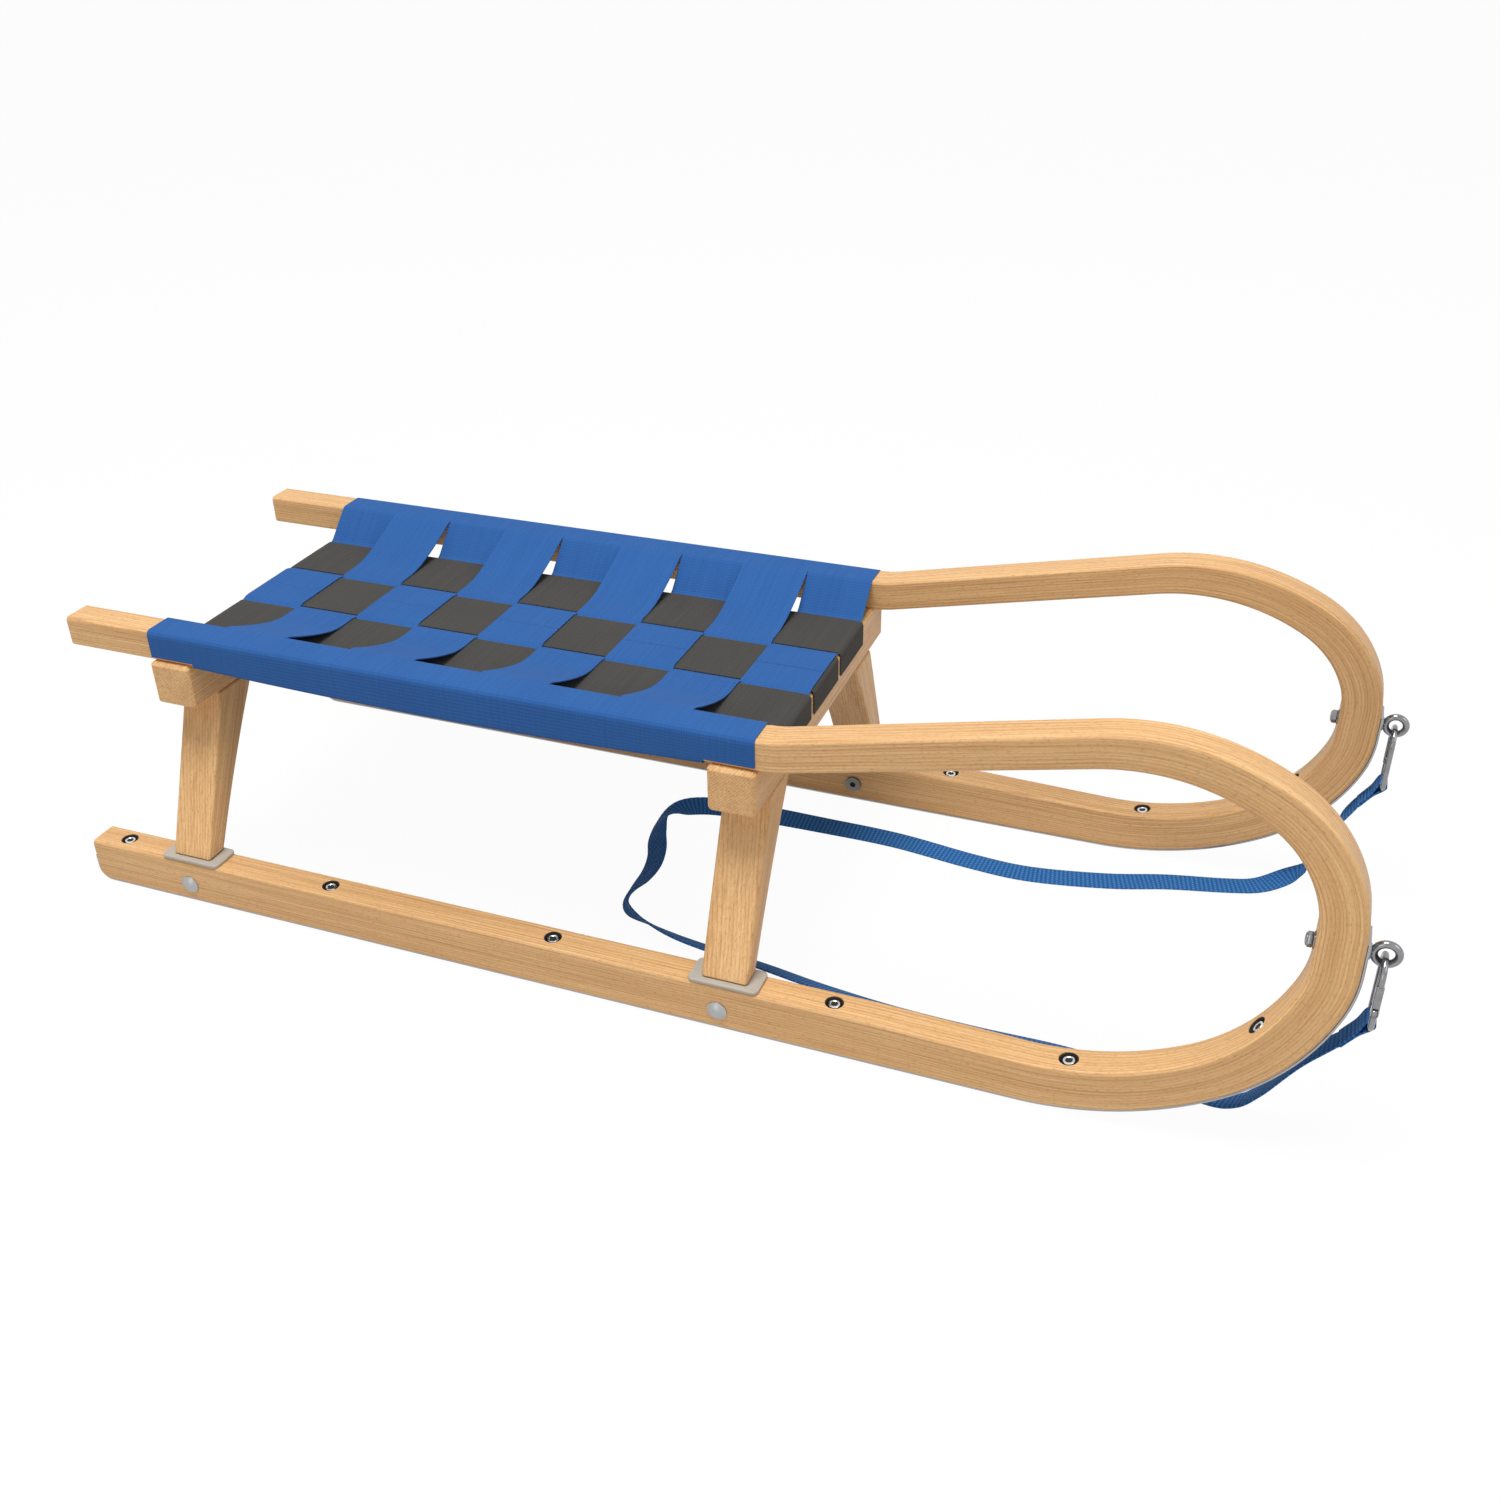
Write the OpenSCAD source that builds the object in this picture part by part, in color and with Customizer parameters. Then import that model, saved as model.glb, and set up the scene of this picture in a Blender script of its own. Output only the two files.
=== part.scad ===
// A wooden sled for two, with a woven seat and a tow strap.
// +X points to the noses, +Y is the left side, and the skids stand on Z = 0.
// The origin is on the ground, midway between the rear ends and the tow rings.

/* [Overall] */
// Length from the runners' rear ends to the fronts of the noses
sled_length = 1100; // [1040:10:1300]
// Height of the rails' top faces
seat_height = 260; // [250:2:300]
// Distance between the middles of the two rails
rail_spread = 300.5; // [285:0.5:360]
// Distance between the middles of the two runners
runner_spread = 369.5; // [340:0.5:440]
// Distance from the runners' rear ends to the middle of the rear legs
rear_overhang = 111.5; // [80:0.5:140]
// Distance between the middles of the rear and front legs
leg_spacing = 522.5; // [460:0.5:560]

/* [Bent boards] */
// Width of the bent boards, across the sled
board_w = 28.5; // [26:0.5:34]
// Thickness of the boards along the seat
rail_t = 27.5; // [24:0.5:32]
// Thickness of the boards past the crown of the horn
crown_t = 30.5; // [26:0.5:36]
// Thickness of the boards at the nose
nose_t = 33; // [28:0.5:38]
// Thickness of the boards at the chin, below the nose
chin_t = 34.5; // [30:0.5:40]
// Thickness of the boards where they reach the ground
toe_t = 38.5; // [34:0.5:42]
// Thickness of the runners behind the toe
runner_t = 42.25; // [40:0.25:48]
// Length over which the runners thicken behind the toe
taper_len = 120; // [60:5:140]
// Bevel along the boards' edges
board_bevel = 2.2; // [1:0.1:4]
// Distance of the rails' rear ends in front of the runners' rear ends
rail_set_in = 4; // [0:0.5:20]
// Climb of the boards from the seat to the crown, in degrees
climb_deg = 12.4; // [10:0.2:15]
// Bend radius where the boards start to climb
kink_r = 90; // [60:1:120]
// Bend radius over the crown
crown_r = 179; // [160:1:200]
// Bend radius in front of the crown
shoulder_r = 105; // [90:1:118]
// Bend radius above and below the flat of the nose
nose_r = 90; // [75:1:100]
// Length of the flat of the nose, on which the eyebolts' flanges and washers seat
nose_flat = 23.1; // [18:0.1:30]
// Bend radius where the boards come down to the ground
toe_r = 254; // [220:1:290]
// Radius of the runners' lower rear corners
heel_r = 12; // [6:0.5:18]

/* [Beams and legs] */
// Width of the cross beams, along the sled
beam_w = 40; // [36:0.5:46]
// Height of the cross beams
beam_h = 40; // [34:0.5:46]
// Bevel along the beams' edges
beam_bevel = 2.5; // [1:0.1:5]
// How far the beams reach past the rails' outer faces
beam_reach = 5; // [2:0.5:12]
// Width of the legs, along the sled
leg_w = 40; // [34:0.5:46]
// Thickness of the legs at the foot, across the sled
foot_t = 21.5; // [18:0.5:24]
// Thickness of the legs at the head, across the sled
head_t = 46.7; // [38:0.1:54]
// How far the legs' feet lie inside the runners' middles
foot_in = 1.3; // [0:0.1:2]
// How far the outer edges of the legs' heads lie inside the rails' middles
head_in = 16; // [8:0.5:24]
// How far the legs' inner edges bow outwards
leg_bow = 3; // [0:0.5:6]
// Width of the tenons on the legs, along the sled
tenon_w = 24; // [20:0.5:28]
// Thickness of the tenons on the legs' heads
head_tenon_t = 24; // [16:0.5:30]
// Length of the tenons on the legs' heads
head_tenon_len = 22; // [14:0.5:28]
// Thickness of the tenons on the legs' feet
foot_tenon_t = 14; // [12:0.5:16]
// Depth of the foot tenons in the runners
foot_tenon_len = 31; // [28:0.5:33]
// Length of the collar plates under the legs
collar_l = 61; // [52:0.5:70]
// Width of the collar plates, across the sled
collar_w = 29.5; // [27:0.5:34]
// Thickness of the collar plates
collar_t = 3.25; // [2:0.25:5]
// Corner radius of the collar plates
collar_r = 5; // [2:0.5:8]

/* [Skids] */
// Width of the steel skids
skid_w = 24; // [18:0.5:26]
// Thickness of the steel skids
skid_t = 2; // [1.5:0.1:3]
// Height of the skids' turned-up rear ends
skid_rear_top = 26; // [22:0.5:36]
// Distance of the first skid screw from the runners' rear ends
screw_1 = 33; // [25:1:60]
// Distance of the second skid screw from the runners' rear ends
screw_2 = 254; // [200:1:300]
// Distance of the third skid screw from the runners' rear ends
screw_3 = 475; // [400:1:520]
// Distance of the fourth skid screw from the runners' rear ends
screw_4 = 725; // [705:1:740]
// Turn of the toe at the fifth skid screw, in degrees
toe_screw_turn = 7.3; // [3:0.1:15]
// Turn of the chin at the foremost skid screw, in degrees
chin_screw_turn = 52; // [40:1:62]

/* [Fasteners] */
// Diameter of the skid screws
skid_screw_d = 5; // [4:0.1:6]
// Diameter of the skid screws' countersunk heads
skid_head_d = 10; // [8:0.1:11]
// Diameter of the counterbores for the skid nuts
skid_bore_d = 15.5; // [14:0.1:17]
// Depth of the counterbores for the skid nuts
skid_bore_depth = 5.5; // [5:0.1:8]
// Diameter of the skid nuts over their corners
skid_nut_d = 11; // [9.5:0.1:13]
// Height of the skid nuts
skid_nut_h = 4.2; // [3:0.1:4.8]
// Diameter of the leg bolts
leg_bolt_d = 6; // [5:0.1:7]
// Height of the leg bolts above the ground
leg_bolt_z = 20; // [18:0.5:22]
// How far the leg bolts sit behind the middle of the legs
leg_bolt_back = 4.5; // [0:0.5:6]
// Diameter of the leg bolts' round heads
leg_head_d = 17.5; // [14:0.5:20]
// Height of the leg bolts' round heads
leg_head_h = 4; // [3:0.1:5]
// Diameter of the leg nuts' flanges
leg_nut_d = 16; // [13:0.5:18]
// Thickness of the leg nuts' flanges
leg_nut_t = 2.8; // [2:0.1:4]
// Diameter of the leg nuts' sleeves
leg_sleeve_d = 8.6; // [8:0.1:9.5]
// Length of the leg nuts' sleeves
leg_sleeve_len = 12; // [9:0.5:16]
// Diameter of the screws from the rails into the beams
rail_screw_d = 5; // [4:0.1:6]
// Diameter of the rail screws' countersunk heads
rail_head_d = 9.5; // [8:0.1:11]
// Depth of the rail screws in the beams
rail_screw_bite = 24; // [16:0.5:30]

/* [Tow rings and hooks] */
// Wire diameter of the tow rings
ring_wire = 5.6; // [4.8:0.1:6]
// Mean radius of the tow rings
ring_r = 8.2; // [8:0.1:9.5]
// Distance of the rings' middles in front of the skids
ring_out = 11.5; // [11:0.1:13]
// Diameter of the eyebolts' shanks
eye_bolt_d = 6; // [5:0.1:6.5]
// Diameter of the eyebolts' flanges
eye_flange_d = 12; // [10:0.5:16]
// Thickness of the eyebolts' flanges
eye_flange_t = 1.5; // [1:0.1:2]
// Diameter of the eyebolt nuts over their corners
eye_nut_d = 11.5; // [10.5:0.1:13]
// Height of the eyebolt nuts
eye_nut_h = 4.2; // [3.6:0.1:6]
// Diameter of the eyebolt washers
eye_washer_d = 13; // [12:0.5:16]
// Thickness of the eyebolt washers
eye_washer_t = 1.2; // [0.8:0.1:2]
// Wire diameter of the hooks
hook_wire = 4.5; // [4:0.1:4.6]
// Bend radius of the hooks' tops
hook_r = 13; // [12.5:0.5:16]
// Height of the hooks, between the middles of the wire
hook_h = 54; // [53:0.5:60]
// Bend radius of the hooks' lower corners
hook_corner_r = 4; // [3.5:0.1:4]
// Length of the hooks' noses below their tops' bends
hook_nose = 2; // [1:0.5:4]
// Height of the gate pins above the hooks' bottom wires
gate_pin_up = 16; // [15.9:0.1:18]
// Width of the gates, along the sled
gate_w = 5.4; // [5:0.1:6.4]
// Thickness of the gates
gate_t = 4; // [3:0.1:4.4]
// Diameter of the gate pins
gate_pin_d = 2; // [1.6:0.1:2.4]
// Diameter of the gates' hinge eyes
gate_eye_d = 6.4; // [5.6:0.1:6.4]
// Thickness of the hinge eyes on the hooks
hook_eye_t = 3; // [2.4:0.1:3.2]

/* [Seat] */
// Thickness of the seat fabric
fabric_t = 1; // [0.8:0.1:1.6]
// Number of strips that the seat fabric is slit into
strip_count = 9; // [5:2:13]
// Width of the slits between the strips
slit_w = 0.8; // [0.4:0.1:2]
// Height above the beams of the fabric's edge where it crosses them
fabric_lift = 3.5; // [2:0.5:8]
// Width of the fabric's lap under the rails
fabric_lap = 20; // [12:0.5:24]
// Width of the webbing straps
webbing_w = 65; // [55:0.5:68]
// Thickness of the webbing straps
webbing_t = 1.2; // [1:0.1:2]
// Distance between the middles of the webbing straps
webbing_pitch = 72; // [71:0.5:80]
// Length of the webbing's ends on the beams' outer faces
webbing_drop = 20; // [10:0.5:30]
// Number of staples under each rail
staple_count = 6; // [3:1:9]

/* [Tow strap] */
// Width of the tow strap
tow_w = 22; // [18:0.5:24]
// Thickness of the tow strap
tow_t = 1.5; // [1.2:0.1:2]
// Width of the strap's loops in the hooks
loop_w = 17.6; // [14:0.1:18]
// Length of the loops' sewn tails below the hooks' bottom wires
loop_len = 28; // [20:0.5:32]

/* [Fits] */
// Gap round tenons and between pieces that are pressed or drawn together
joint_gap = 0.1; // [0.05:0.01:0.2]
// Gap round bolts and screws in their holes
bolt_gap = 0.15; // [0.05:0.01:0.3]
// Gap between layers of cloth, and round the hooks' wires
cloth_gap = 0.3; // [0.25:0.01:0.5]
// Gap round the gate pins in the hooks' eyes
pin_gap = 0.08; // [0.03:0.01:0.1]

/* [Hidden] */

WOOD = "burlywood";
STEEL = "silver";
GREY_STEEL = "slategray";

// Round faces are drawn with this many sides in a preview
$fn = 48;
// Turn between two sections of a bent board, in degrees
BEND_STEP = 5;
// A cut reaches this far past the face that it opens
CUT = 1;

rail_y = rail_spread / 2;
runner_y = runner_spread / 2;
beam_top = seat_height - rail_t;
beam_bottom = beam_top - beam_h;
rail_z = seat_height - rail_t / 2;
runner_top = skid_t + runner_t;
toe_z = skid_t + toe_t / 2;
ring_outer = ring_r + ring_wire / 2;
rear_x = skid_t - (skid_t + sled_length + ring_out + ring_outer) / 2;
front_x = rear_x + sled_length;
rear_leg_x = rear_x + rear_overhang;
front_leg_x = rear_leg_x + leg_spacing;
seat_rear_x = rear_leg_x - beam_w / 2;
seat_front_x = front_leg_x + beam_w / 2;
ring_x = front_x + ring_out;

// Headings of the boards where one bend ends and the next begins
CROWN_END = -30;
SHOULDER_END = -70;
NOSE = -90;
NOSE_END = -110;
CHIN_END = -150;
TOE_END = -180;
TOE_TURN = CHIN_END - TOE_END;

function last(list) = list[len(list) - 1];
function unit(v) = v / norm(v);

// Sections from point p round a bend, whose radius is minus when it turns down
function bend(p, r, a, b) =
    let (n = ceil(abs(b - a) / BEND_STEP))
    [for (i = [1 : n])
        let (h = a + (b - a) * i / n)
        [p[0] + r * (sin(h) - sin(a)), p[1] + r * (cos(a) - cos(h)), h]];

// The board's middle line in side view: distance along X, height and heading
nose_x = front_x - skid_t - nose_t / 2;
kink_start = [seat_front_x, rail_z, 0];
kink = bend(kink_start, kink_r, 0, climb_deg);
crown_turn_len = crown_r * (sin(climb_deg) - sin(CROWN_END));
shoulder_turn_len = shoulder_r * (sin(CROWN_END) - sin(SHOULDER_END));
nose_turn_len = nose_r * (sin(SHOULDER_END) - sin(NOSE));
climb_run = nose_x - last(kink)[0] - crown_turn_len - shoulder_turn_len - nose_turn_len;
climb_end = [last(kink)[0] + climb_run, last(kink)[1] + climb_run * tan(climb_deg), climb_deg];
crown = bend(climb_end, -crown_r, climb_deg, CROWN_END);
apex_z = climb_end[1] + crown_r * (1 - cos(climb_deg));
shoulder = bend(last(crown), -shoulder_r, CROWN_END, SHOULDER_END);
nose_upper = bend(last(shoulder), -nose_r, SHOULDER_END, NOSE);
nose_top_z = last(nose_upper)[1];
nose_bottom_z = nose_top_z - nose_flat;
nose_turn_h = nose_r * (cos(NOSE) - cos(NOSE_END));
toe_turn_h = toe_r * (cos(CHIN_END) - cos(TOE_END));
// The chin's bend radius makes up the height that is left below the nose
chin_r = (nose_bottom_z - toe_z - nose_turn_h - toe_turn_h) / (cos(NOSE_END) - cos(CHIN_END));
nose_bottom = [nose_x, nose_bottom_z, NOSE];
nose_lower = bend(nose_bottom, -nose_r, NOSE, NOSE_END);
chin = bend(last(nose_lower), -chin_r, NOSE_END, CHIN_END);
toe = bend(last(chin), -toe_r, CHIN_END, TOE_END);
toe_x = last(toe)[0];
eye_z = (nose_top_z + nose_bottom_z) / 2;

function board_t(h) = lookup(h, [[TOE_END, toe_t], [CHIN_END, chin_t], [NOSE, nose_t],
    [CROWN_END, crown_t], [climb_deg, rail_t]]);

// From the apex down, the boards lean out from the rails' spread to the runners'
function board_y(z, h) =
    h >= 0 ? rail_y :
    h <= TOE_END ? runner_y :
    rail_y + (runner_y - rail_y) * (apex_z - z) / (apex_z - toe_z);

eye_y = board_y(eye_z, NOSE);

// A section adds the board's thickness and its place across the sled
function section(p) = [p[0], p[1], p[2], board_t(p[2]), board_y(p[1], p[2])];
function rail_section(x) = [x, rail_z, 0, rail_t, rail_y];
function runner_section(x, bottom) =
    [x, (runner_top + bottom) / 2, TOE_END, runner_top - bottom, runner_y];

// Turn between two sections round the heel, in degrees
HEEL_STEP = 15;
heel_turns = [for (turn = [0 : HEEL_STEP : 90]) turn];
heel_sections = [for (turn = heel_turns)
    runner_section(rear_x + heel_r * (1 - sin(turn)), skid_t + heel_r * (1 - cos(turn)))];
nose_sections = [for (p = concat([last(nose_upper)], [nose_bottom], nose_lower, chin, toe))
    section(p)];
taper_section = runner_section(toe_x - taper_len, skid_t);
board_sections = concat(
    [rail_section(rear_x + rail_set_in), rail_section(seat_front_x)],
    [for (p = concat(kink, [climb_end], crown, shoulder)) section(p)],
    [for (i = [0 : len(nose_upper) - 2]) section(nose_upper[i])],
    nose_sections, [taper_section], heel_sections);

// Direction from the middle line to the outside of the bend, in side view
function outward(h) = [-sin(h), cos(h)];
// Point at a distance across and outwards from a section's middle
function off_middle(s, across, out) =
    [s[0] + outward(s[2])[0] * out, s[4] + across, s[1] + outward(s[2])[1] * out];
function bevelled(w, t, c) = [[w - c, -t], [w, c - t], [w, t - c], [w - c, t],
    [c - w, t], [-w, t - c], [-w, c - t], [c - w, -t]];
function board_ring(s) = [for (q = bevelled(board_w / 2, s[3] / 2, board_bevel))
    off_middle(s, q[0], q[1])];

// Solid through a row of rings that all have the same number of points
module loft(rings) {
    n = len(rings[0]);
    m = len(rings);
    sides = [for (i = [0 : m - 2], j = [0 : n - 1])
        let (k = (j + 1) % n)
        [i * n + j, i * n + k, (i + 1) * n + k, (i + 1) * n + j]];
    start_cap = [for (j = [n - 1 : -1 : 0]) j];
    end_cap = [for (j = [0 : n - 1]) (m - 1) * n + j];
    polyhedron(points = [for (r = rings, p = r) p],
        faces = concat([start_cap], sides, [end_cap]), convexity = 10);
}

module extrude_x(x, length) {
    translate([x, 0, 0]) rotate([90, 0, 90]) linear_extrude(length) children();
}

module extrude_y(y, length) {
    translate([0, y, 0]) rotate([90, 0, 0]) linear_extrude(length, center = true) children();
}

// Children are drawn for the left side, and mirrored for the right
module on_side(left) {
    if (left) children();
    else mirror([0, 1, 0]) children();
}

// Local Z runs from the skid's outer face through the board at a section
module through_board(s) {
    base = off_middle(s, 0, s[3] / 2 + skid_t);
    translate(base) rotate([0, 180 - s[2], 0]) children();
}

function toe_point(turn) = [toe_x + toe_r * sin(turn), toe_z + toe_r * (1 - cos(turn)),
    TOE_END + turn];
chin_start = last(chin);
function chin_point(turn) = [chin_start[0] + chin_r * (sin(turn) - sin(TOE_TURN)),
    chin_start[1] + chin_r * (cos(TOE_TURN) - cos(turn)), TOE_END + turn];
screw_sections = concat(
    [for (d = [screw_1, screw_2, screw_3, screw_4]) runner_section(rear_x + d, skid_t)],
    [section(toe_point(toe_screw_turn)), section(chin_point(chin_screw_turn))]);

// Countersunk screw that stands on local Z, with its head at the bottom
module countersunk(d, head_d, length, gap) {
    cone_h = (head_d - d) / 2;
    translate([0, 0, -gap]) cylinder(d1 = head_d + 4 * gap, d2 = d + 2 * gap, h = cone_h + gap);
    cylinder(d = d + 2 * gap, h = length);
}

// The head is sunk a little, so that the screws never carry the sled
SCREW_SINK = 0.1;
// The skid screws' ends stand out of their nuts by this much
SCREW_SHOW = 0.5;
module skid_screw(s, gap) {
    nut_top = skid_t + s[3] - skid_bore_depth + skid_nut_h;
    through_board(s) translate([0, 0, SCREW_SINK])
        countersunk(skid_screw_d, skid_head_d, nut_top - SCREW_SINK + SCREW_SHOW, gap);
}

module skid_counterbore(s) {
    through_board(s) translate([0, 0, skid_t + s[3] - skid_bore_depth])
        cylinder(d = skid_bore_d, h = skid_bore_depth + CUT);
}

module skid_nut(s) {
    through_board(s) translate([0, 0, skid_t + s[3] - skid_bore_depth]) difference() {
        cylinder(d = skid_nut_d, h = skid_nut_h, $fn = 6);
        translate([0, 0, -CUT])
            cylinder(d = skid_screw_d + 2 * bolt_gap, h = skid_nut_h + 2 * CUT);
    }
}

// The leg bolt and its sleeve nut lie across the runner, with the head outside
runner_out_y = runner_y + board_w / 2;
runner_in_y = runner_y - board_w / 2;

module across_runner(leg_x, y, length, d) {
    translate([leg_x - leg_bolt_back, y, leg_bolt_z]) rotate([-90, 0, 0])
        cylinder(d = d, h = length);
}

module leg_bolt_way(leg_x) {
    across_runner(leg_x, runner_in_y - CUT, board_w + 2 * CUT, leg_bolt_d + 2 * bolt_gap);
    across_runner(leg_x, runner_in_y - CUT, leg_sleeve_len + CUT + bolt_gap,
        leg_sleeve_d + 2 * bolt_gap);
}

// Domed cap of a given width and height that stands on local Z
module dome(d, h) {
    r = (d * d / 4 + h * h) / (2 * h);
    intersection() {
        translate([0, 0, h - r]) sphere(r = r, $fn = 64);
        cylinder(d = d + 1, h = h + 1);
    }
}

// The leg bolts' ends lie this far inside the runners' inner faces
LEG_BOLT_SHORT = 2;
// Depth of the hexagon sockets in the leg nuts, and the floor behind them
LEG_NUT_SOCKET = 2;
LEG_NUT_FLOOR = LEG_BOLT_SHORT - 1;

module leg_bolt(leg_x) {
    shank_end = runner_in_y + LEG_BOLT_SHORT;
    across_runner(leg_x, shank_end, runner_out_y - shank_end, leg_bolt_d);
    translate([leg_x - leg_bolt_back, runner_out_y, leg_bolt_z]) rotate([-90, 0, 0])
        dome(leg_head_d, leg_head_h);
}

module leg_nut(leg_x) {
    difference() {
        union() {
            across_runner(leg_x, runner_in_y - leg_nut_t, leg_nut_t, leg_nut_d);
            across_runner(leg_x, runner_in_y, leg_sleeve_len, leg_sleeve_d);
        }
        across_runner(leg_x, runner_in_y + LEG_NUT_FLOOR, leg_sleeve_len, leg_bolt_d + 2 * bolt_gap);
        translate([leg_x - leg_bolt_back, runner_in_y - leg_nut_t - CUT, leg_bolt_z])
            rotate([-90, 0, 0]) cylinder(d = leg_bolt_d, h = LEG_NUT_SOCKET + CUT, $fn = 6);
    }
}

// Screws that fix the rails to the beams, with their heads under the fabric
module rail_screw(leg_x, gap) {
    length = rail_t + rail_screw_bite;
    translate([leg_x, rail_y, seat_height - SCREW_SINK]) rotate([180, 0, 0])
        countersunk(rail_screw_d, rail_head_d, length, gap);
}

// Staples that fix the fabric's lap under a rail: a crown and two legs
STAPLE_CROWN = 10;
STAPLE_WIRE = 0.7;
STAPLE_LEG = 9;
staple_y = rail_y;
lap_z = beam_top - joint_gap - fabric_t;
staple_pitch = (leg_spacing - beam_w) / staple_count;
staple_xs = [for (i = [0 : staple_count - 1]) rear_leg_x + beam_w / 2 + staple_pitch * (i + 0.5)];

module staple_legs(x, gap) {
    for (side = [-1, 1])
        translate([x + side * (STAPLE_CROWN - STAPLE_WIRE) / 2, staple_y,
                   lap_z + (STAPLE_LEG - joint_gap) / 2])
            cube([STAPLE_WIRE + 2 * gap, STAPLE_WIRE + 2 * gap, STAPLE_LEG + joint_gap],
                center = true);
}

module staple(x) {
    staple_legs(x, 0);
    translate([x, staple_y, lap_z - joint_gap - STAPLE_WIRE / 2])
        cube([STAPLE_CROWN, STAPLE_WIRE, STAPLE_WIRE], center = true);
}

// The leg in front view, with an inner edge that bows outwards
collar_top = runner_top + collar_t;
foot_y = runner_y - foot_in;
head_out_y = rail_y - head_in;
head_y = head_out_y - head_t / 2;
LEG_STEPS = 8;
leg_outline = concat(
    [[foot_y + foot_t / 2, collar_top], [head_out_y, beam_bottom]],
    [for (i = [0 : LEG_STEPS])
        let (s = 1 - i / LEG_STEPS)
        [foot_y - foot_t / 2 + (head_out_y - head_t - foot_y + foot_t / 2) * s
            + leg_bow * 4 * s * (1 - s),
         collar_top + (beam_bottom - collar_top) * s]]);

module head_tenon(leg_x, gap) {
    translate([leg_x, head_y, beam_bottom + (head_tenon_len + gap - CUT) / 2])
        cube([tenon_w + 2 * gap, head_tenon_t + 2 * gap, head_tenon_len + gap + CUT],
            center = true);
}

module foot_tenon(leg_x, gap) {
    top = collar_top + CUT;
    bottom = runner_top - foot_tenon_len - gap;
    translate([leg_x, foot_y, (top + bottom) / 2])
        cube([tenon_w + 2 * gap, foot_tenon_t + 2 * gap, top - bottom], center = true);
}

module leg(leg_x) {
    difference() {
        union() {
            extrude_x(leg_x - leg_w / 2, leg_w) polygon(leg_outline);
            head_tenon(leg_x, 0);
            foot_tenon(leg_x, 0);
        }
        leg_bolt_way(leg_x);
    }
}

module cross_beam(leg_x) {
    half_l = rail_y + board_w / 2 + beam_reach;
    difference() {
        intersection() {
            translate([leg_x, 0, beam_bottom]) rotate([90, 0, 0])
                linear_extrude(2 * half_l, center = true)
                    translate([0, beam_h / 2])
                        polygon(bevelled(beam_w / 2, beam_h / 2, beam_bevel));
            extrude_x(leg_x - beam_w, 2 * beam_w) translate([0, beam_bottom + beam_h / 2])
                polygon(bevelled(half_l, beam_h / 2, beam_bevel));
        }
        for (left = [true, false]) on_side(left) {
            head_tenon(leg_x, joint_gap);
            rail_screw(leg_x, joint_gap);
        }
    }
}

module collar_outline() {
    square([collar_l - 2 * collar_r, collar_w], center = true);
    square([collar_l, collar_w - 2 * collar_r], center = true);
    for (x = [-1, 1], y = [-1, 1])
        translate([x * (collar_l / 2 - collar_r), y * (collar_w / 2 - collar_r)])
            circle(r = collar_r);
}

module collar(leg_x) {
    difference() {
        translate([leg_x, runner_y, runner_top]) linear_extrude(collar_t) collar_outline();
        foot_tenon(leg_x, joint_gap);
    }
}

module bent_board() {
    difference() {
        loft([for (s = board_sections) board_ring(s)]);
        for (leg_x = [rear_leg_x, front_leg_x]) {
            foot_tenon(leg_x, joint_gap);
            leg_bolt_way(leg_x);
            rail_screw(leg_x, joint_gap);
        }
        for (s = screw_sections) {
            skid_screw(s, bolt_gap);
            skid_counterbore(s);
        }
        for (x = staple_xs) staple_legs(x, joint_gap / 2);
        eye_bore(bolt_gap);
    }
}

// The skid follows the outside of the board from the heel to the nose
function skid_ring(s) = [for (q = [[-1, 0], [1, 0], [1, 1], [-1, 1]])
    off_middle(s, q[0] * skid_w / 2, s[3] / 2 + q[1] * skid_t)];
function heel_ring(x, z, turn) = [for (q = [[-1, 0], [1, 0], [1, 1], [-1, 1]])
    [x - q[1] * skid_t * sin(turn), runner_y + q[0] * skid_w / 2, z - q[1] * skid_t * cos(turn)]];
skid_rings = concat(
    [for (s = concat(nose_sections, [taper_section])) skid_ring(s)],
    [for (turn = heel_turns) heel_ring(rear_x + heel_r * (1 - sin(turn)),
        skid_t + heel_r * (1 - cos(turn)), turn)],
    [heel_ring(rear_x, skid_rear_top, 90)]);

module skid() {
    difference() {
        loft(skid_rings);
        for (s = screw_sections) skid_screw(s, bolt_gap);
        eye_bore(bolt_gap);
    }
}

// Children stand on local Z, forwards from the front of the skid at the nose
module at_eye() {
    translate([front_x, eye_y, eye_z]) rotate([0, 90, 0]) children();
}

board_back = -(skid_t + nose_t);
eye_nut_back = board_back - eye_washer_t - eye_nut_h;
// Wall between the eyebolt nuts' bores and their domes, and the domes' height
EYE_NUT_FLOOR = 1;
EYE_DOME_H = 1.5;

module eye_bore(gap) {
    at_eye() translate([0, 0, board_back - CUT])
        cylinder(d = eye_bolt_d + 2 * gap, h = skid_t + nose_t + 2 * CUT);
}

module eyebolt() {
    at_eye() {
        translate([0, 0, eye_nut_back + EYE_NUT_FLOOR])
            cylinder(d = eye_bolt_d, h = -eye_nut_back);
        cylinder(d = eye_flange_d, h = eye_flange_t);
    }
    translate([ring_x, eye_y, eye_z]) rotate([90, 0, 0])
        rotate_extrude() translate([ring_r, 0]) circle(d = ring_wire);
}

module eyebolt_washer() {
    at_eye() translate([0, 0, board_back - eye_washer_t]) difference() {
        cylinder(d = eye_washer_d, h = eye_washer_t);
        translate([0, 0, -CUT])
            cylinder(d = eye_bolt_d + 2 * bolt_gap, h = eye_washer_t + 2 * CUT);
    }
}

module eyebolt_nut() {
    at_eye() translate([0, 0, eye_nut_back]) difference() {
        union() {
            cylinder(d = eye_nut_d, h = eye_nut_h, $fn = 6);
            mirror([0, 0, 1]) dome(eye_nut_d * cos(30), EYE_DOME_H);
        }
        translate([0, 0, EYE_NUT_FLOOR - joint_gap])
            cylinder(d = eye_bolt_d + 2 * joint_gap, h = eye_nut_h);
    }
}

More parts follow.
